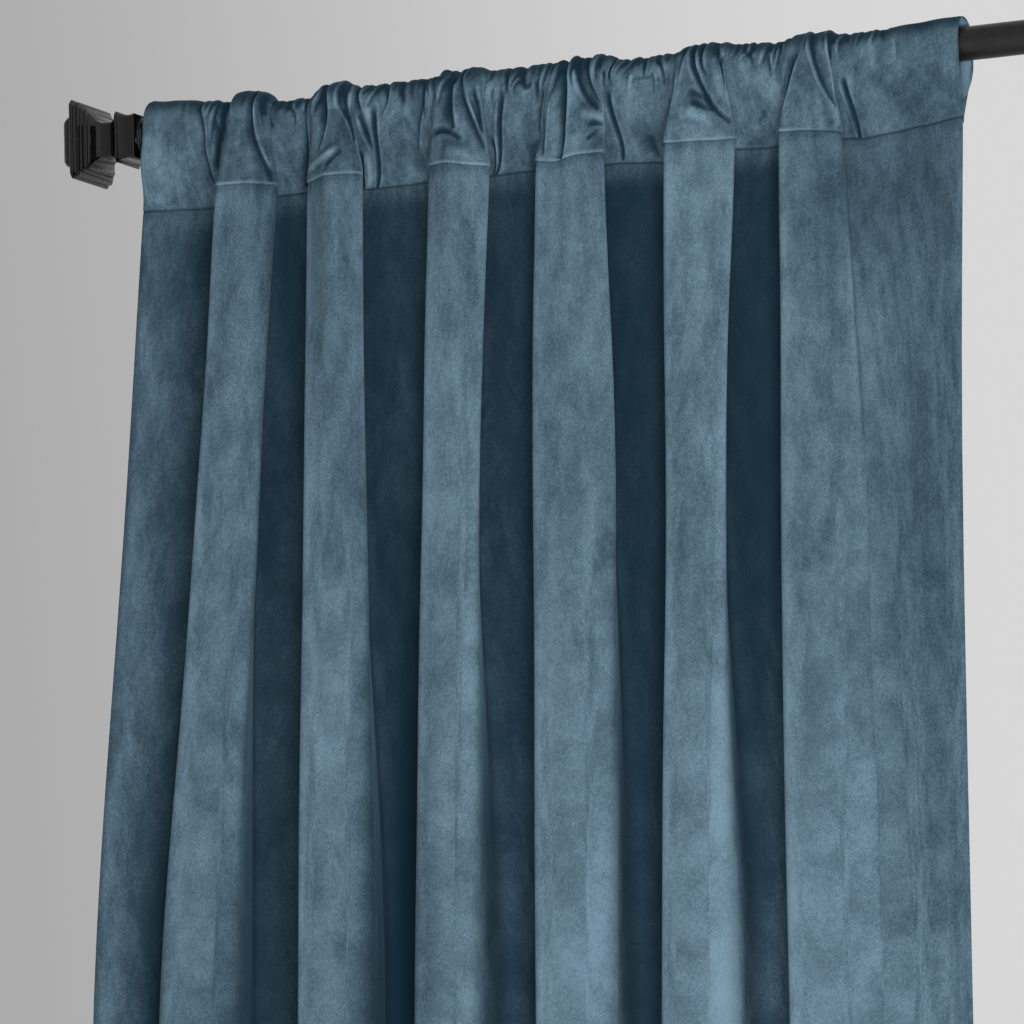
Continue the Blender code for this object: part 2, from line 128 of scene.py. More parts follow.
ROD_EDGES_X = (5.4, 677.0)      # of the panel on the rod
BUNCH_WIDTH = 9.0               # beside each fold on the rod
FOLD_INSET = 3.5                # a fold's swell on the rod is full this far inside its edges
RIGHT_FADE = 11.0               # and falls off over this width at the right
ROD_LEVEL_SPREAD = 0.3          # share of the way from its place on the rod to its place at the seam
HOLD = 0.24                     # share of the pocket's height where its back follows the rod
TopMark = namedtuple("TopMark", "x height")
TOP_LINE = table(TopMark,       # the height that the cloth reaches between the folds
    (0, 28.5), (30, 26.5), (60, 23.5), (120, 17.5), (204, 22), (310, 22), (335, 22.5), (420, 18.5),
    (495, 20.5), (530, 18.5), (600, 18.5), (681, 21.5),
)
Station = namedtuple("Station", "x half")
FINIAL_STATIONS = table(Station,        # the square head from its outer end inwards
    (-65.8, 10.0), (-65.4, 13.6), (-64.4, 15.8), (-62.8, 17.6), (-60.8, 18.9), (-58.6, 19.7),
    (-57.2, 20.0), (-56.6, 20.6), (-54.4, 24.6), (-52.9, 28.6), (-52.2, 30.1), (-51.6, 30.6),
    (-50.2, 30.6), (-49.5, 30.1), (-49.2, 29.2), (-48.4, 28.5), (-47.2, 28.2), (-46.2, 28.5),
    (-45.5, 28.3), (-45.2, 27.4), (-45.1, 26.2), (-43.6, 25.8), (-43.2, 25.2), (-43.1, 23.8),
    (-41.4, 23.4), (-40.9, 22.8), (-40.8, 21.4), (-39.6, 20.4), (-38.4, 18.4), (-37.4, 16.4),
    (-36.2, 15.0), (-34.6, 14.0), (-32.6, 13.5), (-29.6, 13.3), (-26.4, 13.3), (-24.2, 13.7),
    (-22.5, 14.6), (-21.0, 16.0), (-19.8, 17.6), (-18.9, 19.0), (-18.3, 19.7), (-17.5, 19.9),
    (-16.9, 19.5), (-16.6, 18.7), (-16.1, 18.1), (-13.8, 17.3), (-11.0, 16.8), (-8.0, 16.7), (-5.2, 17.0),
    (-3.6, 17.4), (-3.0, 17.2), (-3.0, 15.6),
)
FINIAL_TURN = 2.7               # degrees round the rod
FINIAL_CORNER = 0.05            # chamfer of the square's corners, as a share of its half side
RING_PROFILE = table(Station,        # the round collar, and the spigot in the tube
    (-7.0, 14.4), (-2.6, 14.5), (-2.2, 15.1), (-1.4, 15.4), (-0.6, 15.1), (-0.2, 14.6), (1.1, 14.6),
    (1.7, 14.1), (1.7, 11.2), (23.0, 11.2), (24.0, 10.2),
)
RING_SIDES = 64
SHARP_ANGLE = 26.0

# ---------------------------------------------------------------- the scene's own shapes

# Spacing of the mesh.
THREAD_STEP = 1.16              # between threads in the pocket; the hanging panel has every second one
WALL_STEP = 3.0                 # and between those on the folds' side walls
CORNER_STEPS, FLAT_STEPS = 8, 4     # between threads round a fold's edge, and round the flatter corners
FRONT_GROWTH = 1.19             # each row of the panel is this much further from the last one
LONGEST_ROW = 40.0
OVER_FRONT_STEPS, OVER_BACK_STEPS = 12, 6       # rows over the rod, in front and behind
BACK_STEPS, BACK_STAGGER = 6, 0.35      # rows down the back, and how far up each one is set, in rows
TUNNEL_STRIDE = 4               # the tunnel takes every fourth row of the pocket
TUNNEL_EVENED = 14
TUNNEL_SEAM = 0.75 * CLOTH      # the tunnel starts this far above the stitches
EDGE_ROUND, EDGE_THIN = 1.6, 0.35       # the cloth thins over this width at its sides, to this share
SEAM_ROWS_BELOW = (-9.0, -6.5, -4.5, -3.0, -1.9, -1.0, -0.4)     # heights above the seam
SEAM_ROW, TURNED_ROW = len(SEAM_ROWS_BELOW), SEAM_ROWS_BELOW.index(-TURNED_EDGE)
SEAM_ROWS_ABOVE = (0.5, 1.2, 2.0, 3.0, 4.4, 6.2, 8.4)
POCKET_ROW = 2.1
PANEL_THREADS = slice(None, None, 2)

# The cloth on the rod.
REST_FRONT = 16.2               # the cloth's reach in front of the rod between the folds
TIGHTEST = ROD_DIAMETER / 2 + 0.35      # no cloth comes nearer to the rod's axis
TOP_TROUGH, HUMP_TRIM = 1.0, 0.4        # room for the relief over the rod, between the folds and on them
BACK_SLACK = 1.6                        # behind the rod
EDGE_LIVELY, EDGE_SNUG_WIDTH = 0.1, 80.0        # the panel fits snugly at its sides and is fuller inwards
LEFT_INNER_SHARE = 0.45         # of the way to the first fold, where the left end bends
ROD_EVENED = 6

# One row per crease: three points down it, then its width, depth, the side where the cloth lies lower
# (-1 left, 1 right, 0 both), and how much of its depth is left at its lower end.
Crease = namedtuple("Crease", "x0 z0 x1 z1 x2 z2 width depth side end")
CREASES = tuple(table(Crease, *group) for group in (     # from left to right
    (   # left of fold 1
        (52, 18, 57, -6, 58, -38, 1.3, 1.6, -1, 0.6), (65, 23, 61, 18, 59, 6, 1.3, 2.2, 1, 0.0),
        (68, 23, 66, 12, 64, -6, 1.7, 2.4, 1, 0.1), (76, 20, 72, 12, 75, -6, 1.3, 2.2, 1, 0.0),
        (67, 6, 70, -4, 75, -13, 1.2, 1.8, -1, 0.2), (74, 18, 71, -11, 64, -30, 2.4, 2.0, 0, 0.6),
    ),
    (   # fold 1
        (104, 22, 107, -13, 128, -54, 1.3, 3.0, -1, 0.6), (110, 12, 115, -8, 122, -34, 1.2, 0.9, 0, 0.2),
        (109, 22, 116, -8, 127, -54, 1.2, 2.2, -1, 1.0), (109, 10, 110, -4, 117, -25, 1.3, 0.8, 0, 0.0),
    ),
    (   # valley 1 to 2
        (121, 24, 120, 15, 118, 6, 1.2, 1.7, 1, 0.0), (129, 12, 135, 0, 134, -11, 1.2, 1.7, -1, 0.0),
        (137, 22, 135, 15, 137, 3, 1.2, 1.7, 1, 0.0), (142, 25, 143, 10, 142, 0, 1.3, 1.9, 1, 0.0),
        (145, 15, 145, 0, 145, -6, 1.3, 1.8, 0, 0.2), (145, -2, 145, -19, 138, -51, 1.5, 2.2, -1, 0.8),
        (113, 20, 113, 3, 116, -6, 1.3, 2.4, 0, 0.4),
    ),
    (   # fold 2
        (159, 12, 156, 3, 156, -4, 1.4, 2.4, 1, 0.0), (160, 18, 167, -8, 164, -34, 1.5, 3.6, -1, 0.2),
        (176, 22, 175, 10, 178, 0, 1.7, 2.8, 1, 0.3), (177, 0, 186, -11, 193, -27, 1.2, 2.4, 1, 1.0),
        (181, 15, 182, 3, 186, -8, 1.4, 3.0, -1, 0.4), (184, -34, 174, -40, 159, -46, 3.6, -2.2, 0, 0.5),
        (187, -38, 179, -42, 175, -53, 2.0, 1.8, 0, 0.3),
    ),
    (   # valley 2 to 3
        (187, 12, 190, 0, 192, -6, 1.2, 2.4, -1, 0.2), (188, -2, 193, -17, 197, -30, 1.3, 2.4, 1, 0.6),
        (189, -30, 186, -42, 185, -56, 1.2, 2.4, -1, 1.0),
        (192, -30, 192, -42, 189, -55, 2.6, -1.6, 0, 0.8), (201, 3, 202, -25, 196, -56, 1.6, 2.6, 0, 0.9),
        (196, 3, 196, -6, 198, -18, 2.4, -1.4, 0, 0.2), (208, 23, 201, 15, 196, -2, 1.3, 2.0, 1, 0.0),
        (210, 23, 213, 6, 207, -8, 1.3, 2.2, -1, 0.0), (196, 22, 192, 18, 190, 12, 1.2, 1.6, 1, 0.0),
        (224, 15, 226, 6, 227, 0, 2.2, 1.6, 0, 0.3), (242, 20, 243, -2, 235, -34, 1.5, 2.2, -1, 0.2),
        (244, 15, 244, 0, 245, -13, 1.4, 2.2, 0, 0.2),
    ),
    (   # fold 3
        (255, 22, 255, 12, 255, 3, 1.5, 2.0, 0, 0.2), (261, 23, 255, 15, 255, -2, 1.2, 2.4, 1, 0.2),
        (268, 15, 263, 6, 261, -11, 1.2, 2.2, 1, 0.0), (272, 12, 271, -2, 277, -27, 2.0, 3.6, -1, 0.7),
        (260, -32, 270, -30, 282, -36, 2.2, 2.6, 0, 0.4),
        (271, -51, 283, -49, 291, -51, 4.6, -1.2, 0, 0.4),
        (277, 10, 289, -19, 301, -44, 1.4, 3.2, -1, 0.4), (289, 6, 294, -11, 299, -32, 1.3, 2.6, -1, 1.0),
        (285, -2, 293, -17, 300, -34, 1.2, 1.0, 0, 0.2), (278, 12, 280, 6, 285, -4, 1.2, 2.0, -1, 0.0),
    ),
    (   # valley 3 to 4
        (297, -30, 297, -40, 293, -57, 1.2, 2.2, -1, 1.0), (346, 18, 344, 10, 342, 0, 1.4, 2.4, 1, 0.2),
        (344, 3, 342, -13, 337, -30, 1.3, 2.2, -1, 0.5), (294, 10, 294, -2, 296, -8, 1.3, 2.0, -1, 0.0),
        (301, 6, 301, -2, 301, -8, 1.2, 1.4, 0, 0.0), (309, 6, 305, -27, 295, -57, 1.5, 2.8, 0, 0.9),
        (322, 18, 318, 10, 316, 3, 1.2, 1.7, 1, 0.0), (324, 12, 319, 3, 320, -6, 1.2, 1.7, 1, 0.0),
        (312, 18, 313, 6, 313, -2, 1.3, 2.0, 0, 0.0), (325, 12, 329, 3, 333, 6, 2.2, 1.5, 0, 0.4),
        (338, 10, 338, -2, 338, -13, 1.4, 2.0, 0, 0.0),
    ),
    (   # fold 4
        (357, 18, 354, 6, 351, -6, 1.6, 2.8, 1, 0.2), (350, -8, 347, -23, 347, -51, 1.3, 2.2, -1, 0.6),
        (394, 10, 395, 3, 395, -4, 1.2, 2.0, 0, 0.6), (362, 15, 364, -23, 363, -59, 1.9, 3.6, -1, 0.7),
        (368, 15, 368, 6, 370, -2, 1.3, 2.4, 0, 0.2), (371, 15, 378, -8, 390, -23, 1.7, 3.0, 1, 0.5),
        (373, -21, 386, -27, 396, -32, 3.4, -1.3, 0, 0.5),
        (383, -34, 389, -34, 395, -36, 1.8, 2.2, 0, 0.4),
        (382, -46, 386, -44, 392, -40, 1.6, 2.0, 0, 0.3), (372, 20, 373, 15, 377, 6, 1.2, 1.8, 0, 0.0),
        (381, 12, 385, -4, 392, -17, 1.2, 2.6, -1, 0.2), (389, 20, 388, 10, 390, -2, 1.4, 2.6, 1, 0.0),
    ),
    (   # valley 4 to 5
        (395, -4, 398, -30, 397, -54, 1.7, 3.0, 0, 0.5), (398, 18, 397, 6, 400, -6, 1.4, 2.4, 0, 0.1),
        (420, 22, 414, 12, 410, 3, 1.2, 1.7, 1, 0.0), (409, 20, 405, 12, 403, 3, 1.2, 1.7, 1, 0.0),
        (415, -2, 428, -2, 442, -6, 1.1, 0.8, 0, 0.6), (425, 18, 426, 6, 425, -2, 1.3, 1.9, 0, 0.0),
        (432, 3, 434, -4, 434, -15, 1.2, 1.6, -1, 0.0), (418, 3, 415, -2, 414, -11, 1.4, -1.4, 0, 0.2),
        (423, -38, 423, -44, 425, -51, 3.2, 0.8, 0, 0.5), (437, 15, 441, 3, 443, -8, 1.3, 2.0, 0, 0.2),
    ),
    (   # fold 5
        (453, 0, 452, -13, 450, -34, 1.4, 2.4, -1, 0.3), (462, 18, 459, 6, 456, -11, 1.3, 1.8, -1, 0.0),
        (467, 20, 471, -4, 480, -23, 1.7, 3.2, 0, 0.8), (479, -21, 485, -32, 497, -44, 1.8, 2.6, 0, 0.4),
        (474, 15, 475, 3, 479, -6, 1.6, 3.0, 0, 0.2), (464, -19, 471, -21, 480, -25, 2.2, 1.1, 0, 0.5),
        (467, -25, 475, -30, 485, -34, 2.0, 1.7, 0, 0.6),
        (463, -33, 470, -36, 482, -41, 3.6, -1.2, 0, 0.2),
        (486, 15, 492, -2, 495, -19, 1.3, 2.6, -1, 0.3), (492, 10, 492, 0, 494, -13, 1.2, 2.2, 1, 0.5),
    ),
    (   # valley 5 to 6
        (512, 15, 509, 10, 504, 3, 1.2, 1.6, 1, 0.0), (525, 15, 522, 0, 520, -6, 1.2, 1.7, 1, 0.0),
        (526, 10, 528, -4, 530, -15, 1.2, 2.0, -1, 0.0), (533, 18, 532, 6, 531, -4, 1.3, 1.8, 0, 0.0),
        (536, 15, 535, 0, 532, -8, 1.2, 1.8, 1, 0.0), (520, -32, 516, -36, 512, -40, 1.4, 0.7, 0, 0.3),
        (507, 15, 514, 3, 514, -4, 1.4, 1.4, 0, 0.0),
    ),
    (   # fold 6
        (549, 6, 546, -15, 540, -42, 1.4, 2.4, -1, 0.3), (553, 6, 549, -8, 545, -25, 1.2, 2.4, -1, 0.2),
        (559, 24, 568, -13, 580, -38, 1.4, 2.8, 1, 0.3), (574, 20, 579, -6, 581, -34, 1.2, 2.6, 1, 1.0),
        (581, -38, 582, -49, 580, -56, 1.1, 1.0, 1, 0.3), (577, 20, 578, 15, 578, 10, 1.4, 2.0, 0, 0.2),
    ),
    (   # right end
        (586, -15, 588, -34, 591, -59, 1.6, 2.8, 0, 0.9), (586, 18, 583, 10, 585, -6, 1.2, 2.0, 1, 0.0),
        (611, 22, 610, 12, 608, 3, 1.2, 1.4, 1, 0.0), (629, 10, 630, -2, 630, -11, 1.2, 0.9, 0, 0.2),
        (597, -8, 597, -13, 599, -17, 1.5, 0.5, 0, 0.3), (599, 18, 598, 10, 598, 3, 1.2, 1.2, 1, 0.0),
    ),
))
CREASE_SAMPLES = 60
# Across a crease: sums of bells, counted in its widths from its middle. One with a lower side is wider on
# that side and has a rise on the other. One that lies even has a rise on both sides.
# The relief is the cloth's shape; the tone is painted shade down the crease and painted highlights on its
# rises.
Bell = namedtuple("Bell", "height middle width")
Across = namedtuple("Across", "relief tone")
LOWER_SIDE = Across(relief=table(Bell, (-1, 0, 3.2), (0.30, -1.9, 0.9)),
                    tone=table(Bell, (-1, 0, 0.7), (-0.50, 0, 2.6), (0.60, -1.7, 0.7)))
UPPER_SIDE = Across(relief=table(Bell, (-1, 0, 1), (0.30, -1.9, 0.9)),
                    tone=table(Bell, (-1, 0, 0.7), (0.60, -1.7, 0.7)))
EVEN_SIDES = Across(relief=table(Bell, (-1, 0, 1), (0.22, 2.0, 0.9)),
                    tone=table(Bell, (-0.90, 0, 0.7), (-0.45, 0, 1.7), (0.40, 2.1, 0.7)))
SNUG_REACH = 15.0               # radius that cloth heights go round the rod at
TOP_REACH = 25.0                # height that a crease's z is measured against over the rod
OVER_TOP_FROM = 12.0            # creases that start above this height come over the rod from behind,
OVER_TOP_V, LEAD_SAMPLES = 30.0, 12     # from this cloth height,
OVER_TOP_FADE = 8.0             # fading in over this
CREASE_REACH = 8.0              # a crease is worked out to this many widths on either side
GROUP_MARGIN = 3.0              # threads over which a group of creases fades out at its ends
CREASE_SCALE = 1.3
CREASE_TOP_WIDTH, CREASE_NARROWS = 1.08, 0.4    # share of its width at its upper end, and how much goes
DENT_STARTS, RIDGE_STARTS = 0.30, 0.45  # share of its length over which one below the top sets in
DYING_POWER, END_REACH = 0.7, 1.2       # how it dies away downwards, and beyond its ends in widths
CREASE_SEAM_GAP, CREASE_SEAM_FADE = 1.0, 6.0    # its relief fades out down to this far below the seam
DEEPEST_CREASE = 3.4
TOP_SHARE_LOST, ON_TOP_V, ON_TOP_FADE = 0.55, 6.0, 10.0     # over the rod they are this much shallower
FACING_FROM, FACING_FADE = 0.3, 0.4             # and below it they lie on cloth that faces the front
CREASE_SHADE, DEEPEST_SHADE = 0.56, 3.0         # tone for each millimetre of depth, down to this depth
HIGHLIGHT_LIFT = 0.8                 # painted highlights beside creases and on the seam's lip count by this share
# Soft relief of the pocket and of the hanging cloth: seed, wavelengths across and down, and height.
POCKET_WAVE, POCKET_WAVE_FADE, POCKET_WAVE_ON_TOP = (3, 26, 30, 0.55), 12.0, 0.6
SHEET_WAVES, SHEET_WAVE_FADE = ((21, 95, 420, 0.9), (22, 42, 240, 0.5)), 160.0
ROD_GAP_FROM_Z = -12.0          # above this the cloth is kept off the rod
BACK_LEAN_FADE = 24             # threads after a fold over which the pocket's back stops to lean
BACK_LEAN_FROM = 0.8            # share of the pocket's height over which that lean grows

# Small gathers along the top, between and on the folds.
GATHER_SEED = 11
GATHER_PITCH = (4.0, 16.0)
GATHER_DEPTH = (0.3, 1.0)
GATHER_LENGTH = (5.0, 17.0)
GATHER_WIDTH = (1.0, 1.9)
GATHER_SLANT = (-7.0, 5.0)
GATHER_TOP_Z = 17.0
SMOOTH_LEFT_X, SMOOTH_RIGHT_X = 52.0, 612.0     # there are none to the left and right of these

# Painted light and shade in the pile's tone: painted highlights, and some painted shade, along the folds'
# edges; painted shade in the valleys, on cloth that faces up and left of the first fold.
LEFT_EDGE_HIGHLIGHT = 0.20                # painted highlight on the folds' left edges
RIGHT_EDGE_LIGHT_AND_SHADE = (-0.20, -0.08, 0.20, 0.0, 0.40, 0.10)     # and on their right edges: painted highlights where positive, painted shade where negative
EDGE_TOP_Z, EDGE_FADE = SEAM_Z + 8.0, 30.0      # where both set in, and the distance over which they grow
LEFT_HIGHLIGHT_FROM, RIM_FROM = -0.3, 0.2            # turns round the corner from which these set in
RIM_HIGHLIGHTS = (0.20, 0.60, 0.48, 0.55, 0.62, 0.25)        # a painted highlight in a thin line along these, down to RIM_END_Z
RIM_END_Z, RIM_FADE = -430.0, 220.0
RIM_TOP_Z, RIM_TOP_FADE = -10.0, 20.0
EDGE_EVENED, RIM_EVENED, TILT_EVENED = 20, 2, 2
FRONT_SHADE_TILT = 0.07               # painted shading: the fronts are lighter by this at their left and darker at their right
TILT_END_Z, TILT_FADE = -650.0, 220.0
# Painted shade in the valleys, at the left and at the right of the panel
VALLEY_SHADE_LEFT, VALLEY_SHADE_RIGHT = 0.55, 0.65
VALLEY_TURN_X, VALLEY_TURN_WIDTH = 280.0, 120.0     # where the one gives way to the other
WALL_SHADE_SHARE = 0.75             # share of a right wall over which the valley's painted shade grows to full
INSIDE_SHADE = 0.5               # painted shade inside the pocket
OPEN_END_LIGHT = 1.5                 # and painted light along its open right end
TOP_SHADE, TOP_FROM, TOP_FADE = 0.48, 0.15, 0.6      # painted shade on cloth that faces up
LEFT_SHADE_WIDTH, LEFT_SHADOW = 84.0, 0.62        # painted shadow left of the first fold
POCKET_LOSS, POCKET_FADE = 0.04, 4.0
POCKET_MOTTLES = ((41, 34, 0.07), (42, 13, 0.08), (43, 6, 0.07))    # seed, length and gain
MOTTLE_WAVES = 14
Shade = namedtuple("Shade", "x z wide tall gain")
SHADES = table(Shade,           # soft patches of painted light and shade, and of lighter and darker pile
    (14, -25, 26, 30, 0.22), (24, -480, 20, 200, -0.14), (20, -100, 60, 50, -0.32),
    (-10, -330, 50, 200, -0.12), (-10, -640, 30, 120, -0.25), (-16, -430, 8, 140, 0.10),
    (135, -38, 12, 20, -0.20), (98, -40, 20, 20, 0.13), (222, -680, 26, 260, -0.85),
    (620, -100, 60, 40, -0.14), (30, 2, 22, 8, -0.12), (122, -110, 10, 90, -0.28),
    (90, -700, 16, 360, -0.18), (660, -380, 52, 330, -0.22), (650, -20, 40, 40, -0.03),
    (570, -120, 40, 50, -0.20), (640, -25, 50, 40, -0.08), (518, -690, 20, 200, 0.60),
    (140, -85, 12, 30, 0.30), (290, -160, 14, 80, -0.12), (100, -300, 16, 80, -0.10),
    (197, -300, 12, 80, -0.10), (95, -450, 40, 110, 0.18), (185, -560, 40, 200, 0.14),
    (180, -760, 40, 120, 0.12), (270, -420, 40, 160, 0.10), (365, -640, 60, 160, 0.24),
    (470, -640, 50, 160, 0.22), (570, -640, 60, 180, 0.15), (640, -300, 22, 160, -0.12),
    (71, -2, 10, 20, -0.38), (104, -13, 6, 15, -0.14), (108, -42, 14, 10, 0.06), (117, 4, 4, 9, -0.30),
    (129, -25, 3, 10, -0.12), (137, -25, 4, 14, 0.06), (139, -32, 4, 20, -0.20), (164, -2, 3, 14, -0.34),
    (161, -19, 3, 12, 0.10), (196, -19, 4, 7, -0.38), (197, -6, 4, 8, 0.24), (186, -4, 4, 8, -0.18),
    (270, -13, 4, 16, -0.42), (263, -15, 4, 10, 0.06), (224, -6, 12, 10, 0.18), (230, 4, 5, 5, -0.20),
    (216, -38, 20, 14, -0.14), (232, -34, 6, 20, -0.08), (261, -32, 10, 5, -0.20),
    (282, -53, 14, 6, 0.12), (289, -30, 6, 10, -0.10), (322, -15, 8, 14, 0.18), (325, -44, 8, 11, -0.34),
    (307, -51, 8, 10, -0.12), (363, -23, 3, 26, -0.40), (355, -44, 5, 12, 0.08), (373, -46, 6, 14, 0.06),
    (383, -19, 8, 7, -0.36), (386, -30, 10, 4, 0.14), (389, -36, 8, 3, -0.20), (388, -53, 12, 8, -0.12),
    (410, -15, 8, 18, 0.22), (421, -44, 7, 9, -0.34), (421, -30, 12, 12, -0.06), (400, -46, 6, 12, -0.12),
    (471, -15, 4, 12, -0.30), (475, -27, 10, 5, -0.36), (470, -36, 8, 5, 0.14), (487, -38, 5, 8, -0.18),
    (494, -53, 8, 5, 0.08), (519, -11, 8, 8, 0.16), (505, -6, 4, 8, 0.08), (509, -51, 16, 7, -0.34),
    (508, -25, 12, 14, -0.10), (517, -36, 4, 7, -0.20), (529, -27, 5, 20, 0.10), (578, -30, 6, 10, -0.22),
    (561, -15, 8, 8, -0.10), (577, -6, 5, 12, -0.10), (587, -44, 4, 14, -0.38), (581, -46, 3, 8, 0.18),
    (621, -11, 12, 6, 0.22), (607, -6, 6, 6, 0.10), (614, -27, 14, 10, -0.06), (636, -34, 6, 16, 0.10),
    (615, -42, 12, 6, -0.06), (666, -27, 10, 10, -0.08), (660, -11, 12, 8, 0.04),
    (37, -17, 18, 20, -0.16), (19, 0, 14, 16, 0.08), (22, -23, 20, 10, 0.10), (57, -19, 6, 20, -0.20),
)

# The stitched seam: a thin groove, the pocket's cloth a little proud above it and drawn in below it.
GROOVE_DEPTH, GROOVE_WIDTH = 0.7, 0.8
LIP_HEIGHT, LIP_EDGE, LIP_FADE = 0.7, 0.7, 9.0
DRAWN_IN, DRAWN_FADE = 0.7, 5.0
LIP_FROM = 0.2                  # height above the seam that parts the two
FRONT_TOP_V = 10.0              # all of it is on the front, below this cloth height
SeamLight = namedtuple("SeamLight", "middle width gain front_gain")
SEAM_LIGHT_AND_SHADE = table(SeamLight,    # painted highlight on the lip, and painted shade at the stitches and in a band below them
    (0.6, 0.5, 0.10, 0.60), (-0.2, 0.7, -0.50, 0.35), (-2.5, 4.5, -0.12, -0.12),
)
SEAM_FRONT_Y, SEAM_FRONT_FADE = -12.0, 14.0     # where the fronts begin

# Velvet, as noises that each multiply the pile's tone and its painted light and shade.
PileLayer = namedtuple("PileLayer", "space scale detail roughness distortion low high gain_low gain_high")
PILE_LAYERS = table(PileLayer,
    ("UV", (22, 6, 1), 2, 0.5, 0.0, 0.3, 0.7, 0.90, 1.10),                 # patches
    ("UV", (76, 26, 1), 4, 0.65, 0.0, 0.3, 0.7, 0.84, 1.15),               # strokes
    ("UV", (34, 13, 1), 4, 0.62, 0.4, 0.575, 0.635, 1.0, 0.88),            # brushed patches
    ("Object", (420, 420, 300), 2, 0.6, 0.0, 0.3, 0.7, 0.93, 1.07),        # fuzz
    ("Object", (1500, 1500, 1300), 1, 0.6, 0.0, 0.25, 0.75, 0.79, 1.21),   # grain
)
# The pile's colours, between which its tone and its painted light and shade mix.
PILE_DARK, PILE_LIGHT = (0.005, 0.019, 0.031, 1), (0.119, 0.191, 0.246, 1)
PILE_RANGE = (0.2, 1.8)         # tones that are as dark and as light as these colours
PILE_RELIEF, PILE_BUMP, PILE_DEPTH = ((1100, 1100, 900), 2, 0.6), 0.42, 0.0006
VELVET = dict(Roughness=0.95, Specular_IOR_Level=0.09, Sheen_Weight=0.10, Sheen_Roughness=0.35,
              Sheen_Tint=(0.32, 0.64, 0.95, 1))

# Black paint: how its colour and roughness spread, and how finely it is worn and cast.
PAINT_LEVELS, ROUGHNESS_SPREAD = ((0.6, 0.55, 0.55), (1.5, 1.4, 1.4)), (0.05, 0.07)
PAINT_WEAR, WORN_RANGE = ((60, 60, 60), 4, 0.6), (0.2, 0.8)
CAST_RELIEF, CAST_BUMP = ((210, 210, 210), 3, 0.5), 0.25


# ---------------------------------------------------------------- small tools

def ease(t):
    t = np.clip(t, 0.0, 1.0)
    return t * t * (3 - 2 * t)


def bell(q):
    return np.exp(-np.square(q))


def bells(q, each):
    return sum(row.height * bell((q - row.middle) / row.width) for row in each)


def toward(a, b, distance):
    length = math.dist(a, b)
    return a[0] + (b[0] - a[0]) * distance / length, a[1] + (b[1] - a[1]) * distance / length


def smooth_between(places, values, place):
    """Cubic interpolation of values, single or arrays, that are known at a few descending places."""
    count = len(places)
    slopes = []
    for i in range(count):
        a, b = max(i - 1, 0), min(i + 1, count - 1)
        slopes.append((values[b] - values[a]) / (places[b] - places[a]))
    i = 0
    while i < count - 2 and place < places[i + 1]:
        i += 1
    step = places[i + 1] - places[i]
    t = (place - places[i]) / step
    return ((2 * t ** 3 - 3 * t ** 2 + 1) * values[i] + (t ** 3 - 2 * t ** 2 + t) * step * slopes[i]
            + (3 * t ** 2 - 2 * t ** 3) * values[i + 1] + (t ** 3 - t ** 2) * step * slopes[i + 1])


def ripple(u, v, seed, long_u, long_v, waves=9):
    """Smooth random relief between about -1 and 1, with wavelengths near long_u and long_v."""
    random = np.random.default_rng(seed)
    total = np.zeros(np.broadcast(u, v).shape)
    for _ in range(waves):
        a = random.uniform(-1, 1) * 2 * np.pi / long_u
        b = random.uniform(-1, 1) * 2 * np.pi / long_v
        total += np.sin(a * u + b * v + random.uniform(0, 2 * np.pi))
    return total / math.sqrt(waves)


def evened(values, times_over):
    """Evens out values between neighbouring threads."""
    made = values.copy()
    for _ in range(times_over):
        made[1:-1] = (made[:-2] + 2 * made[1:-1] + made[2:]) / 4
    return made


# ---------------------------------------------------------------- threads and levels

# Each level's path has two knots at its left end, five for each fold and two at its right end.
FIRST_KNOT, FOLD_KNOTS = 2, 5
FOOT, LEFT, MID, RIGHT, OUT = range(FOLD_KNOTS)


def knot_at(fold, place):
    return FIRST_KNOT + FOLD_KNOTS * fold + place


def place_of(knot):
    return (knot - FIRST_KNOT) % FOLD_KNOTS


def threads_at(threads, fold, place):
    """The numbers of the threads at one of a fold's knots and on the stretch after it."""
    return [i for i, thread in enumerate(threads) if thread.knot == knot_at(fold, place)]


def seam_knots():
    left, right = LEFT_ENDS[0], RIGHT_ENDS[0]
    knots = [(left.edge, left.edge_y), (left.inner, left.inner_y)]
    for fold in SEAM_FOLDS:
        tucked = fold.right - TUCK * (fold.out_y - fold.right_y)
        knots += [(fold.foot, fold.foot_y), (fold.left, fold.left_y), (fold.mid, fold.mid_y),
                  (fold.right, fold.right_y), (tucked, fold.out_y)]
    return knots + [(right.inner, right.inner_y), (right.edge, right.edge_y)]


def lower_knots(level, valley_y):
    left, right = LEFT_ENDS[level], RIGHT_ENDS[level]
    knots = [(left.edge, left.edge_y), (left.inner, left.inner_y)]
    for row, lean_out in zip(LOWER_FOLDS, RIGHT_LEANS[level - 1]):
        x0, x1, front = row[3 * level - 3:3 * level]
        lean_in = FIRST_LEFT_LEAN if level == 2 and row is LOWER_FOLDS[0] else LEFT_LEANS[level - 1]
        out = (x1 + lean_out * (valley_y - front), valley_y)
        if row is LOWER_FOLDS[-1]:
            out = (x1 + LAST_LEAN[level - 1], LAST_OUT_Y[level - 1])
        knots += [(x0 + lean_in, valley_y), (x0, front), ((x0 + x1) / 2, front - FRONT_CROWN),
                  (x1, front + RIGHT_DROP), out]
    return knots + [(right.inner, right.inner_y), (right.edge, right.edge_y)]


# A thread runs down the cloth. It stands at a knot of each level's path (turn from -1 to 1 through the
# rounded corner) or on the straight stretch after it (turn None, share along the stretch).
Thread = namedtuple("Thread", "knot turn share")


def corner_reach(knots, k, level):
    if k in (0, len(knots) - 1):
        return 0.0
    radius = (LEFT_RADII if place_of(k) in (FOOT, LEFT) else RIGHT_RADII)[level]
    if k == knot_at(len(SEAM_FOLDS) - 1, RIGHT) and level > 0:
        radius *= LAST_SOFTER
    before, after = math.dist(knots[k - 1], knots[k]), math.dist(knots[k], knots[k + 1])
    return min(radius, CORNER_SHARE * before, CORNER_SHARE * after)


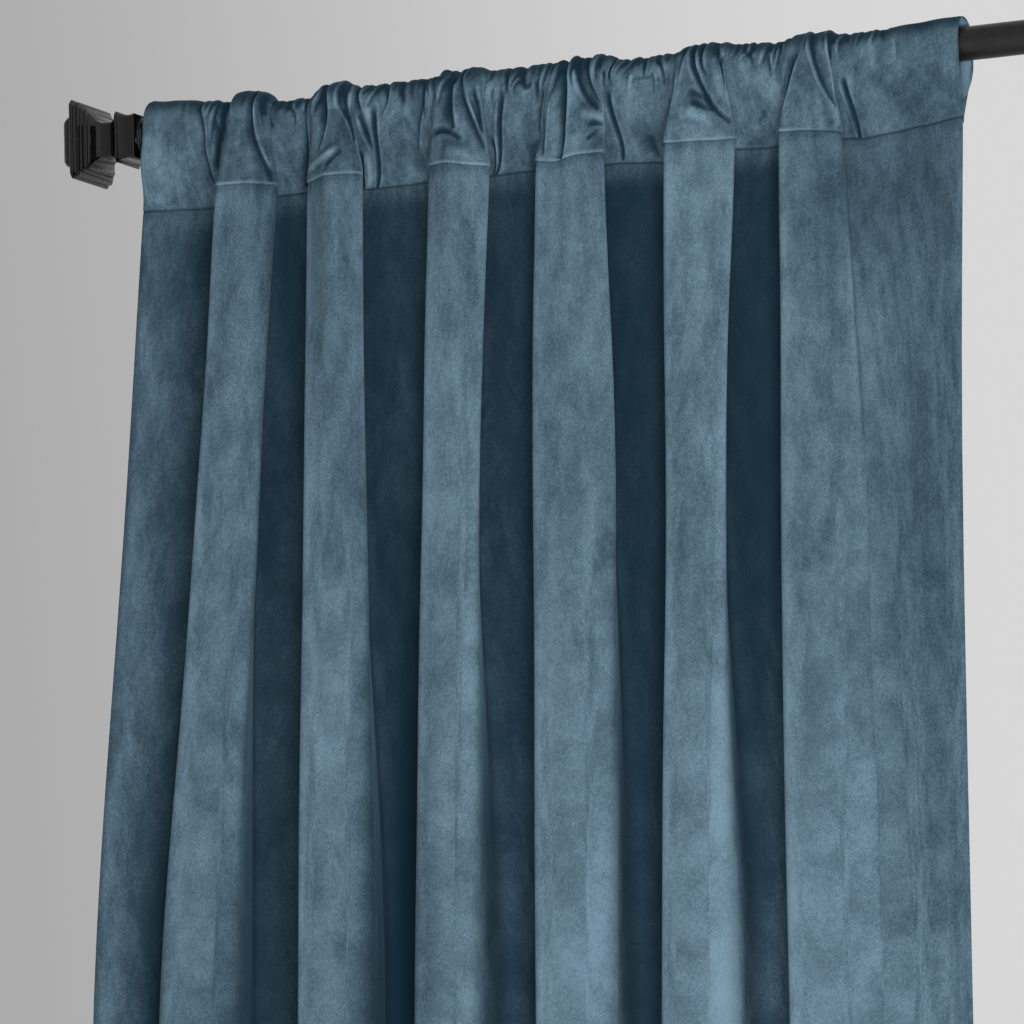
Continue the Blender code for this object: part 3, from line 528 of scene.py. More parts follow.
def thread_point(knots, thread, level):
    k = thread.knot
    here = knots[k]
    reach = corner_reach(knots, k, level)
    if thread.turn is None:
        start = toward(here, knots[k + 1], reach)
        stop = toward(knots[k + 1], here, corner_reach(knots, k + 1, level))
        return tuple(a + (b - a) * thread.share for a, b in zip(start, stop))
    if reach == 0.0:
        return here
    before, after = toward(here, knots[k - 1], reach), toward(here, knots[k + 1], reach)
    t = (thread.turn + 1) / 2
    return tuple(a * (1 - t) ** 2 + 2 * b * t * (1 - t) + c * t * t
                 for a, b, c in zip(before, here, after))


def make_threads():
    """The pocket's threads from left to right: an odd number, of which the panel has every second one."""
    knots = seam_knots()
    last = len(knots) - 1
    threads = []
    for k in range(last):
        if k == 0:
            threads.append(Thread(0, 0, 0.0))
        else:
            flat = k in (1, last - 1) or place_of(k) == MID
            steps = FLAT_STEPS if flat else CORNER_STEPS
            threads += [Thread(k, -1 + 2 * i / steps, 0.0) for i in range(steps + 1)]
        straight = (math.dist(knots[k], knots[k + 1])
                    - corner_reach(knots, k, 0) - corner_reach(knots, k + 1, 0))
        step = WALL_STEP if place_of(k) in (FOOT, RIGHT) else THREAD_STEP
        steps = 2 * max(1, round(straight / step / 2))
        threads += [Thread(k, None, i / steps) for i in range(1, steps)]
    return threads + [Thread(last, 0, 0.0)]


def level_path(knots, threads, level):
    return np.array([thread_point(knots, thread, level) for thread in threads])


def path_length(path):
    return float(np.linalg.norm(np.diff(path, axis=0), axis=1).sum())


def fitted_lower_knots(level, threads):
    shallow, deep = 0.0, DEEPEST_VALLEY
    for _ in range(FITTING_STEPS):
        middle = (shallow + deep) / 2
        if path_length(level_path(lower_knots(level, middle), threads, level)) < FLAT_WIDTH:
            shallow = middle
        else:
            deep = middle
    return lower_knots(level, shallow)


def hem_knots(above):
    middle = sum(x for x, _ in above) / len(above)
    return [(middle + (x - middle) * HEM_SPREAD, y) for x, y in above]


def level_paths(threads):
    upper, lower = fitted_lower_knots(1, threads), fitted_lower_knots(2, threads)
    every = (seam_knots(), upper, lower, hem_knots(lower))
    return [level_path(knots, threads, level) for level, knots in enumerate(every)]


# ---------------------------------------------------------------- the pocket

RodLine = namedtuple("RodLine", "x front top back lean")


def rod_line(threads, seam_length):
    """Each thread where it passes the rod: its place and its reach to the front, top and back."""
    places = [ROD_EDGES_X[0], LEFT_INNER_SHARE * ROD_FOLDS[0].left]
    for row in ROD_FOLDS:
        places += [row.left - BUNCH_WIDTH, row.left, (row.left + row.right) / 2, row.right,
                   row.right + BUNCH_WIDTH]
    places += [RIGHT_ENDS[0].inner, ROD_EDGES_X[1]]
    at_knots = [s for s, thread in zip(seam_length, threads) if thread.turn == 0]
    x = np.interp(seam_length, at_knots, places)
    x = evened(x, ROD_EVENED)

    top_line = np.zeros_like(x)
    for a, b in zip(TOP_LINE, TOP_LINE[1:]):
        here = (x >= a.x) & (x <= b.x)
        top_line[here] = a.height + (b.height - a.height) * ease((x[here] - a.x) / (b.x - a.x))
    from_edge = np.minimum(x - x[0], x[-1] - x)
    lively = np.minimum(1.0, EDGE_LIVELY + from_edge / EDGE_SNUG_WIDTH)
    snug = ROD_DIAMETER / 2 + ROD_CLEARANCE + CLOTH / 2
    front = snug + (REST_FRONT - snug) * lively
    top = np.maximum(snug, top_line - CLOTH / 2 - TOP_TROUGH * lively)
    for row in ROD_FOLDS:
        swell = (ease((x - row.left - FOLD_INSET + row.rise) / row.rise)
                 * ease((row.right - FOLD_INSET + RIGHT_FADE - x) / RIGHT_FADE))
        front += (row.reach - CLOTH / 2 - front) * swell
        top += (row.hump - CLOTH / 2 - HUMP_TRIM - top) * swell
    return RodLine(x, front, top, snug + BACK_SLACK * lively, back_leans(threads))


def back_leans(threads):
    """How far each thread of the pocket's back layer follows the folds' leaning right walls."""
    leans = np.zeros(len(threads))
    for fold in range(len(SEAM_FOLDS)):
        left, right, out = (threads_at(threads, fold, place)[0] for place in (LEFT, RIGHT, OUT))
        end = min(out + BACK_LEAN_FADE, len(threads))
        leans[left:right] = np.linspace(0, 1, right - left)
        leans[right:out] = 1.0
        leans[out:end] = 1 - ease(np.arange(end - out) / BACK_LEAN_FADE)
    return leans


def pocket_row(cloth, down, side):
    """A row of the pocket's front (side -1) or back (side 1), down = 0 at the rod and 1 at the seam."""
    seam, rod = cloth.seam, cloth.rod
    reach = rod.front if side < 0 else rod.back
    slack = np.full_like(rod.x, ease((down - HOLD) / (1 - HOLD)))
    if side < 0:
        slack[seam[:, 1] < -reach] = down
    across = ROD_LEVEL_SPREAD + (1 - ROD_LEVEL_SPREAD) * down
    row = np.stack((rod.x + (seam[:, 0] - rod.x) * across,
                    side * reach * (1 - slack) + seam[:, 1] * slack, seam[:, 2] * down), axis=1)
    if side > 0:
        behind = row[:, 1] - pocket_row(cloth, down, -1)[:, 1]
        row[:, 0] -= TUCK * rod.lean * behind * ease(down / BACK_LEAN_FROM)
    return row


def over_rod(cloth, angle):
    """A row over the rod, angle = 0 in front and pi behind."""
    seam, rod = cloth.seam, cloth.rod
    side = rod.front if angle < math.pi / 2 else rod.back
    reach = side * math.cos(angle) ** 2 + rod.top * math.sin(angle) ** 2
    across = ROD_LEVEL_SPREAD * math.cos(angle) ** 2
    return np.stack((rod.x + (seam[:, 0] - rod.x) * across, -reach * math.cos(angle),
                     reach * math.sin(angle)), axis=1)


def grid_normals(grid):
    """Unit normals of a grid (threads, rows, 3) whose rows go up the front."""
    along, up = np.gradient(grid, axis=0), np.gradient(grid, axis=1)
    normals = np.cross(along, up)
    return normals / np.linalg.norm(normals, axis=2, keepdims=True)


def height_to_cloth(z):
    """The cloth height of a height on the front."""
    if z <= 0:
        return z
    return SNUG_REACH * math.asin(min(z / TOP_REACH, 1.0))


def crease_line(crease):
    """Points down a crease in (x, cloth height), and the share of the way down at each."""
    marks = np.array([(crease.x0, height_to_cloth(crease.z0)), (crease.x1, height_to_cloth(crease.z1)),
                      (crease.x2, height_to_cloth(crease.z2))])
    t = np.linspace(0, 1, CREASE_SAMPLES)[:, None]
    bend = 2 * marks[1] - (marks[0] + marks[2]) / 2
    line = marks[0] * (1 - t) ** 2 + 2 * bend * t * (1 - t) + marks[2] * t * t
    t = t[:, 0]
    if crease.z0 >= OVER_TOP_FROM:
        lead = np.linspace(OVER_TOP_V, line[0, 1] + 1.0, LEAD_SAMPLES)
        line = np.concatenate((np.stack((np.full(LEAD_SAMPLES, line[0, 0]), lead), axis=1), line))
        t = np.concatenate((np.zeros(LEAD_SAMPLES), t))
    return line, t


def crease_shape(across, side, width):
    """Relief, and painted shade and highlights, across a crease of unit depth."""
    if side == 0:
        return [bells(np.abs(across) / width, each) for each in EVEN_SIDES]
    q = across * side / width
    return [np.where(q > 0, bells(q, lower), bells(q, upper))
            for lower, upper in zip(LOWER_SIDE, UPPER_SIDE)]


def add_creases(creases, mask, x, v, relief, tone):
    """Adds the relief of some creases, and their painted shade and highlights, at places x and cloth
    heights v.
    """
    for crease in creases:
        line, t = crease_line(crease)
        pad = CREASE_REACH * crease.width
        low, high = line.min(axis=0) - pad, line.max(axis=0) + pad
        near = (mask > 0) & (x > low[0]) & (x < high[0]) & (v > low[1]) & (v < high[1])
        if not near.any():
            continue
        px, pv = x[near], v[near]
        nearest = ((px[:, None] - line[:, 0]) ** 2 + (pv[:, None] - line[:, 1]) ** 2).argmin(axis=1)
        tangent = np.gradient(line, axis=0)
        tangent /= np.linalg.norm(tangent, axis=1, keepdims=True)
        to_x, to_v = px - line[nearest, 0], pv - line[nearest, 1]
        across = tangent[nearest, 0] * to_v - tangent[nearest, 1] * to_x
        along = tangent[nearest, 0] * to_x + tangent[nearest, 1] * to_v
        beyond = np.where(nearest == 0, np.maximum(-along, 0), 0)
        beyond += np.where(nearest == len(line) - 1, np.maximum(along, 0), 0)
        width = crease.width * (CREASE_TOP_WIDTH - CREASE_NARROWS * t[nearest])
        fade = (1 - t[nearest]) ** DYING_POWER * (1 - crease.end) + crease.end
        if crease.z0 < OVER_TOP_FROM:
            fade = fade * ease(t[nearest] / (DENT_STARTS if crease.depth > 0 else RIDGE_STARTS))
        fade = fade * bell(beyond / (END_REACH * width))
        fade = fade * ease((OVER_TOP_V - pv) / OVER_TOP_FADE) * mask[near]
        shape, shade = crease_shape(across, crease.side, width)
        on_top = 1 - TOP_SHARE_LOST * ease((pv - ON_TOP_V) / ON_TOP_FADE)
        relief[near] += CREASE_SCALE * crease.depth * fade * shape * on_top
        shaded_depth = max(-DEEPEST_SHADE, min(crease.depth, DEEPEST_SHADE))
        tone[near] += CREASE_SHADE * shaded_depth * fade * shade


def group_mask(threads, group):
    """How far each thread belongs to a group of creases, on a fold's front or on a valley's floor."""
    fold = (group - 1) // 2
    if group % 2:
        first, last = threads_at(threads, fold, LEFT)[0], threads_at(threads, fold, RIGHT)[CORNER_STEPS]
    elif group == 0:
        first, last = 0, threads_at(threads, 0, FOOT)[-1]
    else:
        first, last = threads_at(threads, fold, OUT)[0], threads_at(threads, fold + 1, FOOT)[0]
    places = np.arange(len(threads))
    margin = GROUP_MARGIN if group else 1
    return ease((places - first + margin) / margin) * ease((last + GROUP_MARGIN - places) / GROUP_MARGIN)


def crease_relief(threads, x, v):
    """Relief of all creases, and their painted shade and highlights, at places x and cloth heights v."""
    relief, tone = np.zeros_like(x), np.zeros_like(x)
    for group, creases in enumerate(CREASES):
        mask = np.broadcast_to(group_mask(threads, group)[:, None], x.shape)
        add_creases(creases, mask, x, v, relief, tone)
    add_creases(small_gathers(), np.ones_like(x), x, v, relief, tone)
    return relief, tone


def small_gathers():
    """Little pinches along the rod, made with a fixed seed."""
    random = np.random.default_rng(GATHER_SEED)
    made = []
    x = SMOOTH_LEFT_X
    while x < SMOOTH_RIGHT_X:
        x += random.uniform(*GATHER_PITCH)
        length, slant = random.uniform(*GATHER_LENGTH), random.uniform(*GATHER_SLANT)
        made.append(Crease(x, GATHER_TOP_Z, x + slant * 0.4, GATHER_TOP_Z - 0.5 * length,
                           x + slant, GATHER_TOP_Z - length,
                           random.uniform(*GATHER_WIDTH), random.uniform(*GATHER_DEPTH), 0, 0.0))
    return tuple(made)


def seam_relief(above):
    """The lip above the stitches and the cloth drawn in below them."""
    over, under = np.maximum(above, 0), np.minimum(above, 0)
    lip = LIP_HEIGHT * (1 - np.exp(-over / LIP_EDGE)) * bell(over / LIP_FADE)
    sides = np.where(above > LIP_FROM, lip, -DRAWN_IN * np.exp(under / DRAWN_FADE))
    return sides - GROOVE_DEPTH * bell(above / GROOVE_WIDTH)


def seam_light_and_shade(above, y):
    """A painted highlight on the lip on the folds' fronts, and painted shade along the stitch line,
    darkest in the valleys, and in a band below it.
    """
    front = ease((SEAM_FRONT_Y - y) / SEAM_FRONT_FADE)
    lip, line, band = (bell((above - row.middle) / row.width) * (row.gain + row.front_gain * front)
                       for row in SEAM_LIGHT_AND_SHADE)
    return lip + line + band * (above < 0)


# ---------------------------------------------------------------- the cloth's layers

# What all layers share: the threads, the levels' paths, and for each thread its length from the left at
# the seam, its place u on the flat cloth, its stitch, its line on the rod and half its thickness.
Cloth = namedtuple("Cloth", "threads paths length u seam rod half")


def lay_out():
    threads = make_threads()
    paths = level_paths(threads)
    length = np.concatenate(([0], np.cumsum(np.linalg.norm(np.diff(paths[0], axis=0), axis=1))))
    u = length * FLAT_WIDTH / length[-1]
    seam = np.column_stack((paths[0], SEAM_Z - seam_sag(paths[0], u)))
    from_side = np.minimum(length, length[-1] - length)
    rounded = np.sqrt(1 - np.square(1 - np.minimum(from_side / EDGE_ROUND, 1)))
    half = CLOTH / 2 * (EDGE_THIN + (1 - EDGE_THIN) * rounded)
    return Cloth(threads, paths, length, u, seam, rod_line(threads, length), half)


def seam_sag(path, u):
    """How far each thread's stitches lie below the seam's height."""
    sag = SEAM_SAG * (1 - ease(-path[:, 1] / SET_FORWARD))
    sag += SEAM_WAVER * ripple(u, 0.0, WAVER_SEED, SEAM_WAVER_LENGTH, 1.0)
    on_front = ease((DIP_FRONT_Y - path[:, 1]) / DIP_FRONT_FADE)
    for dip in SEAM_DIPS:
        there = on_front if dip.front else 1 - on_front
        sag += dip.depth * bell((path[:, 0] - dip.x) / dip.wide) * there
    return sag


def hanging_row(cloth, below):
    """A row of the hanging cloth's middle surface, below = distance under the seam."""
    z = SEAM_Z - below
    x, y = (smooth_between(LEVELS_Z, [path[:, i] for path in cloth.paths], z) for i in (0, 1))
    sag = (cloth.seam[:, 2] - SEAM_Z) * (1 - ease(np.array(below / SAG_FADE)))
    return np.stack((x, y, z + sag), axis=1)


def panel_rows():
    """Distances below the seam of the hanging panel's rows, from the hem up."""
    first, second = SEAM_ROWS_BELOW[:2]
    rows, gap = [-first], second - first
    end = SEAM_Z - HEM_Z
    while rows[-1] < end - LONGEST_ROW:
        gap = min(gap * FRONT_GROWTH, LONGEST_ROW)
        rows.append(rows[-1] + gap)
    rows = rows[1:]
    if len(rows) % 2 == 0:
        rows.append((rows[-1] + end) / 2)
    return [end] + rows[::-1]


def fine_rows(cloth):
    """The middle surface from just below the seam, up the front, over the rod and down its back, and the
    cloth heights of its rows."""
    rows = [(hanging_row(cloth, -above), SEAM_Z + above) for above in SEAM_ROWS_BELOW]
    rows.append((cloth.seam, SEAM_Z))
    last = SEAM_ROWS_ABOVE[-1]
    steps = round((-SEAM_Z - last) / POCKET_ROW)
    heights = SEAM_ROWS_ABOVE + tuple(last + (-SEAM_Z - last) * i / steps for i in range(1, steps))
    rows += [(pocket_row(cloth, 1 - above / -SEAM_Z, -1), SEAM_Z + above) for above in heights]
    angles = [math.pi / 2 * i / OVER_FRONT_STEPS for i in range(OVER_FRONT_STEPS + 1)]
    angles += [math.pi / 2 * (1 + i / OVER_BACK_STEPS) for i in range(1, OVER_BACK_STEPS + 1)]
    rows += [(over_rod(cloth, angle), SNUG_REACH * angle) for angle in angles]
    downs = [(i - BACK_STAGGER) / BACK_STEPS for i in range(1, BACK_STEPS + 1)]
    rows += [(pocket_row(cloth, down, 1), SNUG_REACH * math.pi - SEAM_Z * down) for down in downs]
    points, heights = zip(*rows)
    return np.stack(points, axis=1), np.array(heights)


def sheet_relief(u, below):
    """Soft long waves of the hanging cloth, none at the seam."""
    return ease(below / SHEET_WAVE_FADE) * sum(height * ripple(u, below, seed, across, down)
                                               for seed, across, down, height in SHEET_WAVES)


def fine_relief(cloth, grid, normals, v):
    """Relief of the fine rows, and the painted shade and highlights of their creases and of the seam."""
    facing = np.where(v > 0, 1.0, ease((-normals[:, :, 1] - FACING_FROM) / FACING_FADE))
    relief, tone = crease_relief(cloth.threads, grid[:, :, 0], v)
    relief *= facing * ease((v - SEAM_Z + CREASE_SEAM_GAP) / CREASE_SEAM_FADE)
    relief = np.maximum(relief, -DEEPEST_CREASE)
    on_front = v < FRONT_TOP_V
    tone = tone * facing * (v > SEAM_Z) + np.where(on_front, seam_light_and_shade(v - SEAM_Z, grid[:, :, 1]), 0)
    seed, across, down, height = POCKET_WAVE
    live = ease((v - SEAM_Z) / POCKET_WAVE_FADE) * np.where(v > 0, POCKET_WAVE_ON_TOP, 1.0)
    relief += height * ripple(cloth.u[:, None], v, seed, across, down) * live
    relief += np.where(on_front, seam_relief(v - SEAM_Z), 0)
    relief += sheet_relief(cloth.u[:, None], SEAM_Z - v) * (v < SEAM_Z)
    radius = np.hypot(grid[:, :, 1], grid[:, :, 2])
    return np.where(v > ROD_GAP_FROM_Z, np.maximum(relief, TIGHTEST + CLOTH / 2 - radius), relief), tone


# ---------------------------------------------------------------- the curtain's mesh

class Shell:
    """Points, places on the flat cloth, tones and faces of a mesh that is put together from grids."""

    def __init__(self):
        self.points, self.uvs, self.tones, self.faces = [], [], [], []

    def add(self, grid, u, v, tone=1.0):
        """Adds a grid of points (threads, rows, 3) and returns their numbers."""
        start = sum(len(points) for points in self.points)
        self.points.append(grid.reshape(-1, 3))
        uv = np.stack(np.broadcast_arrays(u[:, None], np.asarray(v)[None, :]), axis=2)
        self.uvs.append(uv.reshape(-1, 2))
        self.tones.append(np.broadcast_to(tone, grid.shape[:2]).ravel())
        return start + np.arange(grid.shape[0] * grid.shape[1]).reshape(grid.shape[:2])

    def quads(self, low, high, flip=False):
        for i in range(len(low) - 1):
            face = (low[i], low[i + 1], high[i + 1], high[i])
            self.faces.append(face[::-1] if flip else face)

    def rows(self, grid, order=None, flip=False):
        """Joins the rows of a grid to one another, in their own order or in the given one."""
        order = range(grid.shape[1]) if order is None else order
        for low, high in zip(order, order[1:]):
            self.quads(grid[:, low], grid[:, high], flip)

    def fans(self, coarse, dense, dense_above):
        """Joins a row of the panel's threads to a row of all threads."""
        for i in range(len(coarse) - 1):
            new = ((coarse[i], dense[2 * i + 1], dense[2 * i]),
                   (coarse[i], coarse[i + 1], dense[2 * i + 1]),
                   (coarse[i + 1], dense[2 * i + 2], dense[2 * i + 1]))
            self.faces.extend(new if dense_above else [face[::-1] for face in new])


def side_faces(fine, front, back, tunnel, back_rows, tunnel_rows):
    """Faces that close the left side edge, from the numbers of its points in each grid."""
    hanging = back[3:]
    made = [[hanging[j + 1], *front[back_rows[j + 1]:back_rows[j] + 1], hanging[j]]
            for j in range(len(hanging) - 1)]
    made.append([hanging[0], *front[back_rows[0]:], *fine[:TURNED_ROW + 1], back[2]])
    made.append([fine[TURNED_ROW], back[1], back[2]])
    made.append([*fine[TURNED_ROW:SEAM_ROW + 1], back[0], back[1]])
    made.append([fine[SEAM_ROW], tunnel[0], back[0]])
    edges = [SEAM_ROW] + tunnel_rows
    for j in range(len(edges) - 1):
        made.append([*fine[edges[j]:edges[j + 1] + 1], tunnel[j + 1], tunnel[j]])
    made.append([*fine[edges[-1]:], back[0], tunnel[0], tunnel[-1]])
    return made


def curtain_mesh():
    """The whole cloth's closed mesh: points, faces, places on the flat cloth and tones of the pile with
    its painted light and shade.
    """
    cloth = lay_out()
    grid, grid_v = fine_rows(cloth)
    normals = grid_normals(grid)
    v = np.broadcast_to(grid_v, grid.shape[:2])
    relief, tone = fine_relief(cloth, grid, normals, v)
    half = cloth.half[:, None]
    gains, valley = painted_edge_light(cloth.threads, cloth.length), valley_shares(cloth.threads, cloth.length)
    shell = Shell()
    # Painted shade and highlights of the creases and the seam, times the pile's tone and its painted
    # light.
    tone = np.where(tone < 0, np.exp(tone), 1 + HIGHLIGHT_LIFT * tone)
    tone = pile_tone_and_painted_light(grid, normals, gains, valley, v) * tone
    fine = shell.add(grid + normals * (relief + half)[:, :, None], cloth.u, grid_v, tone)

    # The tunnel round the rod. Its relief is evener, and nowhere further out than the outer surface's.
    tunnel_rows = list(range(SEAM_ROW + TUNNEL_STRIDE, grid.shape[1] - 1, TUNNEL_STRIDE))
    inner = grid - normals * (half - np.minimum(evened(relief, TUNNEL_EVENED), relief))[:, :, None]
    above_seam = grid[PANEL_THREADS, SEAM_ROW] + np.array((0, 0, TUNNEL_SEAM))
    inside = np.stack([above_seam] + [inner[PANEL_THREADS, row] for row in tunnel_rows], axis=1)
    # Painted shade inside the pocket, and painted light along its open right end.
    inside_light_and_shade = np.full(inside.shape[:2], INSIDE_SHADE)
    inside_light_and_shade[-2:] = OPEN_END_LIGHT

    # The hanging panel's front, and its back with the pocket's turned edge stitched on.
    below = panel_rows()
    panel_v = SEAM_Z - np.array(below)
    panel = np.stack([hanging_row(cloth, distance)[PANEL_THREADS] for distance in below], axis=1)
    under = grid[PANEL_THREADS, :SEAM_ROW + 1]
    panel_normals, under_normals = np.split(grid_normals(np.concatenate((panel, under), axis=1)),
                                            [len(below)], axis=1)
    u, half = cloth.u[PANEL_THREADS], half[PANEL_THREADS]
    waves = sheet_relief(u[:, None], SEAM_Z - panel_v)
    behind = panel - panel_normals * (half - waves)[:, :, None]
    back_rows = list(range(len(below) - 2, -1, -2))
    turned = (SEAM_ROW, TURNED_THICKNESS), (TURNED_ROW, TURNED_THICKNESS), (TURNED_ROW, 0)
    lining = [under[:, row] - under_normals[:, row] * (half + thickness) for row, thickness in turned]
    lining += [behind[:, row] for row in back_rows]
    lining_v = [SEAM_Z, SEAM_Z - TURNED_EDGE, SEAM_Z - TURNED_EDGE] + [panel_v[row] for row in back_rows]
    panel_tone = pile_tone_and_painted_light(panel, panel_normals, PaintedEdgeLight(*(gain[PANEL_THREADS] for gain in gains)),
                           valley[PANEL_THREADS], np.broadcast_to(panel_v, panel.shape[:2]))

    front = shell.add(panel + panel_normals * (waves + half)[:, :, None], u, panel_v, panel_tone)
    back = shell.add(np.stack(lining, axis=1), u, lining_v)
    tunnel = shell.add(inside, u, [SEAM_Z] + [grid_v[row] for row in tunnel_rows], inside_light_and_shade)

    shell.rows(front)
    shell.fans(front[:, -1], fine[:, 0], True)
    shell.rows(fine)
    shell.fans(back[:, 0], fine[:, -1], False)
    shell.rows(back)
    shell.quads(back[:, -1], front[:, 0])
    shell.rows(tunnel, list(range(tunnel.shape[1])) + [0], flip=True)
    for end in (0, -1):
        for face in side_faces(fine[end], front[end], back[end], tunnel[end], back_rows, tunnel_rows):
            shell.faces.append(face if end == 0 else face[::-1])
    return (np.concatenate(shell.points), shell.faces, np.concatenate(shell.uvs),
            np.concatenate(shell.tones))


# ---------------------------------------------------------------- the pile's tone and painted light

# Painted light of the folds: highlights and shade at their edges, a thin highlight line, and a tilt
# across their fronts.
PaintedEdgeLight = namedtuple("PaintedEdgeLight", "edge rim tilt")


def painted_edge_light(threads, length):
    """The painted highlights and shade that each thread gets from the fold's edge it lies on or near, the
    painted tilt across the fronts, and the painted shadow left of the first fold.
    """
    edge, rim, tilt = np.zeros((3, len(threads)))
    for fold in range(len(SEAM_FOLDS)):
        left, right = threads_at(threads, fold, LEFT), threads_at(threads, fold, RIGHT)
        for i in left[:CORNER_STEPS + 1]:
            edge[i] = LEFT_EDGE_HIGHLIGHT * (threads[i].turn > LEFT_HIGHLIGHT_FROM)
        for i in right[:CORNER_STEPS + 1]:
            edge[i] = RIGHT_EDGE_LIGHT_AND_SHADE[fold] * (1 + threads[i].turn) / 2
            rim[i] = RIM_HIGHLIGHTS[fold] * (threads[i].turn > RIM_FROM)
        tilt[left[0]:right[-1]] = FRONT_SHADE_TILT * np.linspace(1, -1, right[-1] - left[0])
    edge, rim, tilt = evened(edge, EDGE_EVENED), evened(rim, RIM_EVENED), evened(tilt, TILT_EVENED)
    # Painted shadow left of the first fold.
    foot = threads_at(threads, 0, FOOT)[CORNER_STEPS // 2]
    to_foot = length[foot] - length[:foot + 1]
    edge[:foot + 1] -= LEFT_SHADOW * ease(1 - to_foot / LEFT_SHADE_WIDTH)
    return PaintedEdgeLight(edge, rim, tilt)


def valley_shares(threads, length):
    """How far each thread is inside a valley, which sets its share of the valley's painted shade: 0 on
    the fronts, growing to 1 down a right wall.
    """
    shares = np.zeros(len(threads))
    for fold in range(len(SEAM_FOLDS) - 1):
        start, stop = (threads_at(threads, fold, place)[0] for place in (RIGHT, OUT))
        down = (length[start:stop] - length[start]) / (length[stop] - length[start])
        shares[start:stop] = ease(down / WALL_SHADE_SHARE)
        shares[stop:threads_at(threads, fold + 1, LEFT)[0]] = 1.0
    foot, left = (threads_at(threads, 0, place)[0] for place in (FOOT, LEFT))
    shares[foot:left] = ease(np.linspace(0, 2, left - foot))
    return shares


def pile_tone_and_painted_light(grid, normals, gains, valley, v):
    """How light the pile is painted at each point of a grid of the front: painted shade in the valleys,
    on cloth that faces up and left of the first fold, painted highlights and shade along the folds'
    edges, and soft patches that are partly painted light and shade, partly random mottling of the pile.
    """
    x = grid[:, :, 0]
    below = ease((EDGE_TOP_Z - v) / EDGE_FADE)
    to_right = ease((x - VALLEY_TURN_X) / VALLEY_TURN_WIDTH)
    valley_shade = VALLEY_SHADE_LEFT + (VALLEY_SHADE_RIGHT - VALLEY_SHADE_LEFT) * to_right
    rim = ease((v - RIM_END_Z) / RIM_FADE) * ease((RIM_TOP_Z - v) / RIM_TOP_FADE)
    tilt = ease((v - TILT_END_Z) / TILT_FADE)
    # Painted highlights and shade along the folds' edges, a thin painted highlight line and a painted
    # tilt across the fronts.
    tone = (1 + gains.edge[:, None] * below + gains.rim[:, None] * rim
            + gains.tilt[:, None] * tilt * below)
    # Painted shade in the valleys.
    tone = tone * (1 - valley_shade * valley[:, None] * below)
    # Painted shade on cloth that faces up.
    tone = tone * (1 - TOP_SHADE * ease((normals[:, :, 2] - TOP_FROM) / TOP_FADE))
    pocket = ease((v - SEAM_Z) / POCKET_FADE)
    tone = tone * (1 - pocket * POCKET_LOSS)
    for seed, long, gain in POCKET_MOTTLES:
        tone = tone * (1 + pocket * gain * ripple(x, v, seed, long, long, MOTTLE_WAVES))
    # Soft patches, partly painted light and shade, partly lighter and darker pile.
    for shade in SHADES:
        patch = shade.gain * bell((x - shade.x) / shade.wide) * bell((v - shade.z) / shade.tall)
        tone = tone * (1 + patch)
    return tone


# ---------------------------------------------------------------- objects

def mesh_object(name, points, faces, uvs=None, tone=None):
    """A mesh from points in millimetres, with smooth shading and the tone of its pile with its painted
    light and shade.
    """
    mesh = bpy.data.meshes.new(name)
    shifted = (np.asarray(points) - np.array((ORIGIN_X, 0, 0))) * METRES
    mesh.from_pydata(shifted.tolist(), [], [tuple(int(i) for i in face) for face in faces])
    mesh.update()
    if uvs is not None:
        layer = mesh.uv_layers.new(name="cloth")
        corners = np.empty(len(mesh.loops), dtype=np.int32)
        mesh.loops.foreach_get("vertex_index", corners)
        layer.data.foreach_set("uv", (np.asarray(uvs)[corners] * METRES).astype(np.float32).ravel())
    if tone is not None:
        values = mesh.attributes.new("pile_tone_and_painted_light", "FLOAT", "POINT").data
        values.foreach_set("value", tone.astype(np.float32))
    mesh.shade_smooth()
    mesh.validate()
    made = bpy.data.objects.new(name, mesh)
    bpy.context.scene.collection.objects.link(made)
    return made


# ---------------------------------------------------------------- the finials

def square_points(station):
    """Eight corners of a chamfered square round the rod's axis."""
    h, c = station.half, station.half * (1 - 2 * FINIAL_CORNER)
    around = ((-c, -h), (c, -h), (h, -c), (h, c), (c, h), (-c, h), (-h, c), (-h, -c))
    return [(station.x, y, z) for y, z in around]


def round_points(station):
    return [(station.x, station.half * math.cos(2 * math.pi * i / RING_SIDES),
             station.half * math.sin(2 * math.pi * i / RING_SIDES)) for i in range(RING_SIDES)]


def lofted(sections):
    """Points and faces of a closed solid through sections that all have the same number of points."""
    points = [point for section in sections for point in section]
    count, last = len(sections[0]), (len(sections) - 1) * len(sections[0])
    faces = [tuple(range(count))[::-1], tuple(range(last, last + count))]
    for start in range(0, last, count):
        for i in range(count):
            j = (i + 1) % count
            faces.append((start + i, start + j, start + count + j, start + count + i))
    return points, faces


def finial(name, mirror):
    head, head_faces = lofted([square_points(station) for station in FINIAL_STATIONS])
    ring, ring_faces = lofted([round_points(station) for station in RING_PROFILE])
    turn = math.radians(FINIAL_TURN)
    turned = [(x, y * math.cos(turn) - z * math.sin(turn), y * math.sin(turn) + z * math.cos(turn))
              for x, y, z in head]
    points = np.array(turned + ring)
    faces = head_faces + [tuple(i + len(head) for i in face) for face in ring_faces]
    if mirror:
        points[:, 0] = 2 * ORIGIN_X - points[:, 0]
        faces = [face[::-1] for face in faces]
    made = mesh_object(name, points, faces)
    sharpened = bmesh.new()
    sharpened.from_mesh(made.data)
    for edge in sharpened.edges:
        edge.smooth = edge.calc_face_angle(0.0) < math.radians(SHARP_ANGLE)
    sharpened.to_mesh(made.data)
    sharpened.free()
    return made


# ---------------------------------------------------------------- materials

